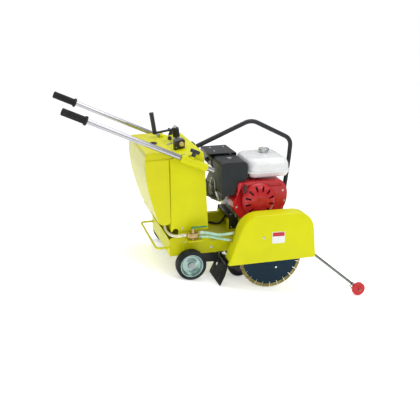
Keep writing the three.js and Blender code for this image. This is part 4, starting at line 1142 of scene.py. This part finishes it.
def build_water():
    body = lathe([(0, -7), (14, -7), (16, -5), (16, 33), (14, 35), (0, 35)],
        aim((3, -282, 231), AHEAD, LEFT), 48)
    arc = [(17 * cos(radians(d)), 15 * sin(radians(d))) for d in range(-70, 71, 10)]
    ball = lathe([(0, -15)] + arc + [(0, 15)], aim((17, -282, 231)), 48)
    nuts = [lathe([(0, 0), (13.4, 0), (15, 1.6), (15, 9), (13.4, 10.6), (0, 10.6)],
            aim((x, -282, 236), AHEAD, LEFT), 6) for x in (-14, 30)]
    barb = lathe([(0, 0), (9, 0), (9, 3), (7, 4), (8, 7), (7, 8), (0, 8)],
        aim((-12, -282, 238), BACK, LEFT), 40)
    spigots = [lathe([(0, 0), (8, 0), (8, 4), (6, 5), (7, 9), (6, 10.5), (0, 10.5)],
            aim((39.5, y, z), AHEAD, LEFT), 40) for y, z in ((-288, 248), (-276, 222))]
    stem = lathe([(0, 0), (11, 0), (11, 7), (8, 8), (8, 24), (0, 24)], aim((17, -282, 248), UP), 40)
    foot = lathe([(0, 0), (12, 0), (12, 2), (9, 4), (9, 14), (0, 14)], aim((17, -282, 207.3), UP), 40)
    cover("valve_body", [body, ball, barb, stem, foot] + nuts + spigots, "brass", sharp=28)
    handle = slab((14, 92), (-289.5, -274.5), (275, 279.6), 1.8, 4)
    hub = lathe([(0, 0.3), (8, 0.3), (10, 1.5), (10, 7.6), (8, 9), (0, 9)], aim((17, -282, 272), UP), 40)
    cover("valve_lever", [handle, hub], "green", "valve_lever")
    routes = (("supply_hose", SUPPLY_ROUTE, 8, "cream_hose"),
        ("guard_hose_upper", UPPER_ROUTE, GUARD_HOSE, "green_hose"),
        ("guard_hose_lower", LOWER_ROUTE, GUARD_HOSE, "green_hose"),
        ("throttle_cable", CABLE_ROUTE, 3, "plastic"))
    for node, route, radius, look in routes:
        cover(node, sweep(smooth_line(route, 10), radius, 28), look, sharp=60)
    clips = clip((-38, -281.5, 237.5), (1, 0.08, 0.05), 8.1)
    clips += clip((62, -288.2, 247.8), (1, 0, -0.1), GUARD_HOSE + 0.1)
    clips += clip((62, -276.1, 221.9), AHEAD, GUARD_HOSE + 0.1)
    make("hose_clips", clips, "zinc")
    ring = [(GUARD_HOSE + 0.2, 0), (10, 0), (10.8, 1), (10.8, 7), (GUARD_HOSE + 0.2, 9),
        (GUARD_HOSE + 0.2, 0)]
    unions = [lathe(ring, aim(Vector(route[-1]) - Vector((6, 0, 0)), (1, -0.08, 0.06), UP), 40)
        for route in (UPPER_ROUTE, LOWER_ROUTE)]
    make("guard_hose_unions", unions, "brass")


# ------------------------------------------------------------------ pointer


def build_pointer():
    wheel = middle("pointer_wheel")
    pivot = Vector((690, wheel.y + 22, 72))
    foot = Vector((wheel.x, pivot.y, wheel.z))
    cross = bar((690, wheel.y + 14.5, 72), (690, -204, 72), 8, 1, 48)
    arm = bar(pivot, foot, 7.5, 1.2, 48)
    axle = bar((wheel.x, wheel.y - 22, wheel.z), (wheel.x, pivot.y + 4, wheel.z), 5, 1, 40)
    cover("pointer_arm", [cross, arm, axle], "rod", "pointer")
    rim = symmetric([(5.3, 13), (12, 13), (13, 12), (15, 10), (20, 8), (30, 8), (32, 10), (36, 10),
            (38, 7)])
    cover("pointer_wheel", lathe(rim, aim(wheel), 80), "wheel_red", "pointer_wheel", sharp=28)
    nut_at = Vector((wheel.x, wheel.y + 15, wheel.z))
    collar = lathe([(5.2, -1), (10, -1), (10, 3), (5.2, 3), (5.2, -1)], aim(nut_at), 32)
    run = (pivot - foot).normalized()
    spot = foot + run * 34 + Vector((0, -4, 0))
    lean = Matrix.Translation(spot + Vector((-8, 2, -11))) @ Matrix.Rotation(radians(-130), 4, "Y")
    wings = rounded([(-13, 2, 2), (-15, 10, 4), (-4, 7, 3), (4, 7, 3), (15, 10, 4), (13, 2, 2)], 4)
    wings = prism(wings, -1.8, 1.8, 0.7, 2, lean)
    clamp = lathe([(7.6, -7), (10.4, -7), (11, -6), (11, 6), (10.4, 7), (7.6, 7), (7.6, -7)],
        aim(foot + run * 34, run, LEFT), 40)
    make("pointer_clamp", [collar, clamp, wings], "zinc", "pointer")


# ------------------------------------------------------------------ stage


def build_stage():
    floor = bpy.data.objects.new("floor", bpy.data.meshes.new("floor"))
    bm = bmesh.new()
    bmesh.ops.create_circle(bm, cap_ends=True, segments=96, radius=90)
    bm.to_mesh(floor.data)
    bm.free()
    n = Nodes("pale_floor")
    n.link(n.mix(n.remap(n.noise(3, 4), 0.3, 0.7), (0.93, 0.93, 0.93), (0.96, 0.96, 0.96)), "Base Color")
    n.put(Roughness=0.8, Emission_Color=(1, 1, 1, 1), Emission_Strength=0.44)
    floor.data.materials.append(n.material)
    show(floor)

    world = bpy.data.worlds.new("studio")
    world.use_nodes = True
    tree = world.node_tree
    background = tree.nodes["Background"]
    height = tree.nodes.new("ShaderNodeSeparateXYZ")
    tree.links.new(tree.nodes.new("ShaderNodeTexCoord").outputs["Generated"], height.inputs[0])
    # A studio wall that is dim at the floor and bright overhead; the camera itself sees it plain white.
    wall = tree.nodes.new("ShaderNodeMapRange")
    for socket, value in (("From Min", -0.02), ("From Max", 0.55), ("To Min", 0.17), ("To Max", 0.68)):
        wall.inputs[socket].default_value = value
    tree.links.new(height.outputs["Z"], wall.inputs["Value"])
    seen = tree.nodes.new("ShaderNodeMix")
    tree.links.new(tree.nodes.new("ShaderNodeLightPath").outputs["Is Camera Ray"], seen.inputs["Factor"])
    tree.links.new(wall.outputs["Result"], seen.inputs[2])
    seen.inputs[3].default_value = 1.0
    tree.links.new(seen.outputs[0], background.inputs["Strength"])
    background.inputs["Color"].default_value = (1, 1, 1, 1)
    bpy.context.scene.world = world
    lights = {
        "key": ((1.4, -2.6, 2.8), 1.8, 20),
        "front": ((-0.8, -3.4, 1.5), 2.4, 8),
        "top": ((0.1, 0.3, 3.0), 2.4, 38),
        "rear": ((-1.2, 2.6, 2.4), 2.0, 12),
    }
    for name, (place, size, power) in lights.items():
        light = bpy.data.lights.new(name, "AREA")
        light.size = size
        light.energy = power
        lamp = bpy.data.objects.new(name, light)
        lamp.location = place
        lamp.rotation_euler = (Vector((0, 0, 0.35)) - Vector(place)).to_track_quat("-Z", "Y").to_euler()
        show(lamp)
    bpy.context.scene.view_settings.view_transform = "Standard"


# Where the camera stands and looks, in chassis axes: millimetres and degrees.
CAMERA = {"place": (-847.65, -3662.26, 1519.35), "turn": 15.805, "dip": 18.185, "lens": 60.81, "film": 36}


def build_camera():
    turn, dip = radians(CAMERA["turn"]), radians(CAMERA["dip"])
    ahead = Vector((sin(turn) * cos(dip), cos(turn) * cos(dip), -sin(dip)))
    right = Vector((cos(turn), -sin(turn), 0))
    view = Matrix((right, right.cross(ahead), -ahead)).transposed().to_4x4()
    data = bpy.data.cameras.new("camera")
    data.lens, data.sensor_width, data.clip_end = CAMERA["lens"], CAMERA["film"], 300
    camera = bpy.data.objects.new("camera", data)
    camera.matrix_world = Matrix.Translation(ROW @ Vector(CAMERA["place"])) @ TILT @ view
    show(camera)
    bpy.context.scene.camera = camera


build_chassis()
build_bars()
build_flap()
build_guard()
build_belt_drive()
build_console()
build_tank()
build_controls()
build_handle("right", -1)
build_handle("left", 1)
build_crank()
build_carriage()
build_wheels()
build_blade()
build_engine_block()
build_fan_cover()
build_recoil()
build_fuel_tank()
build_air_cleaner()
build_carburettor()
build_muffler()
build_water()
build_pointer()
build_stage()
build_camera()
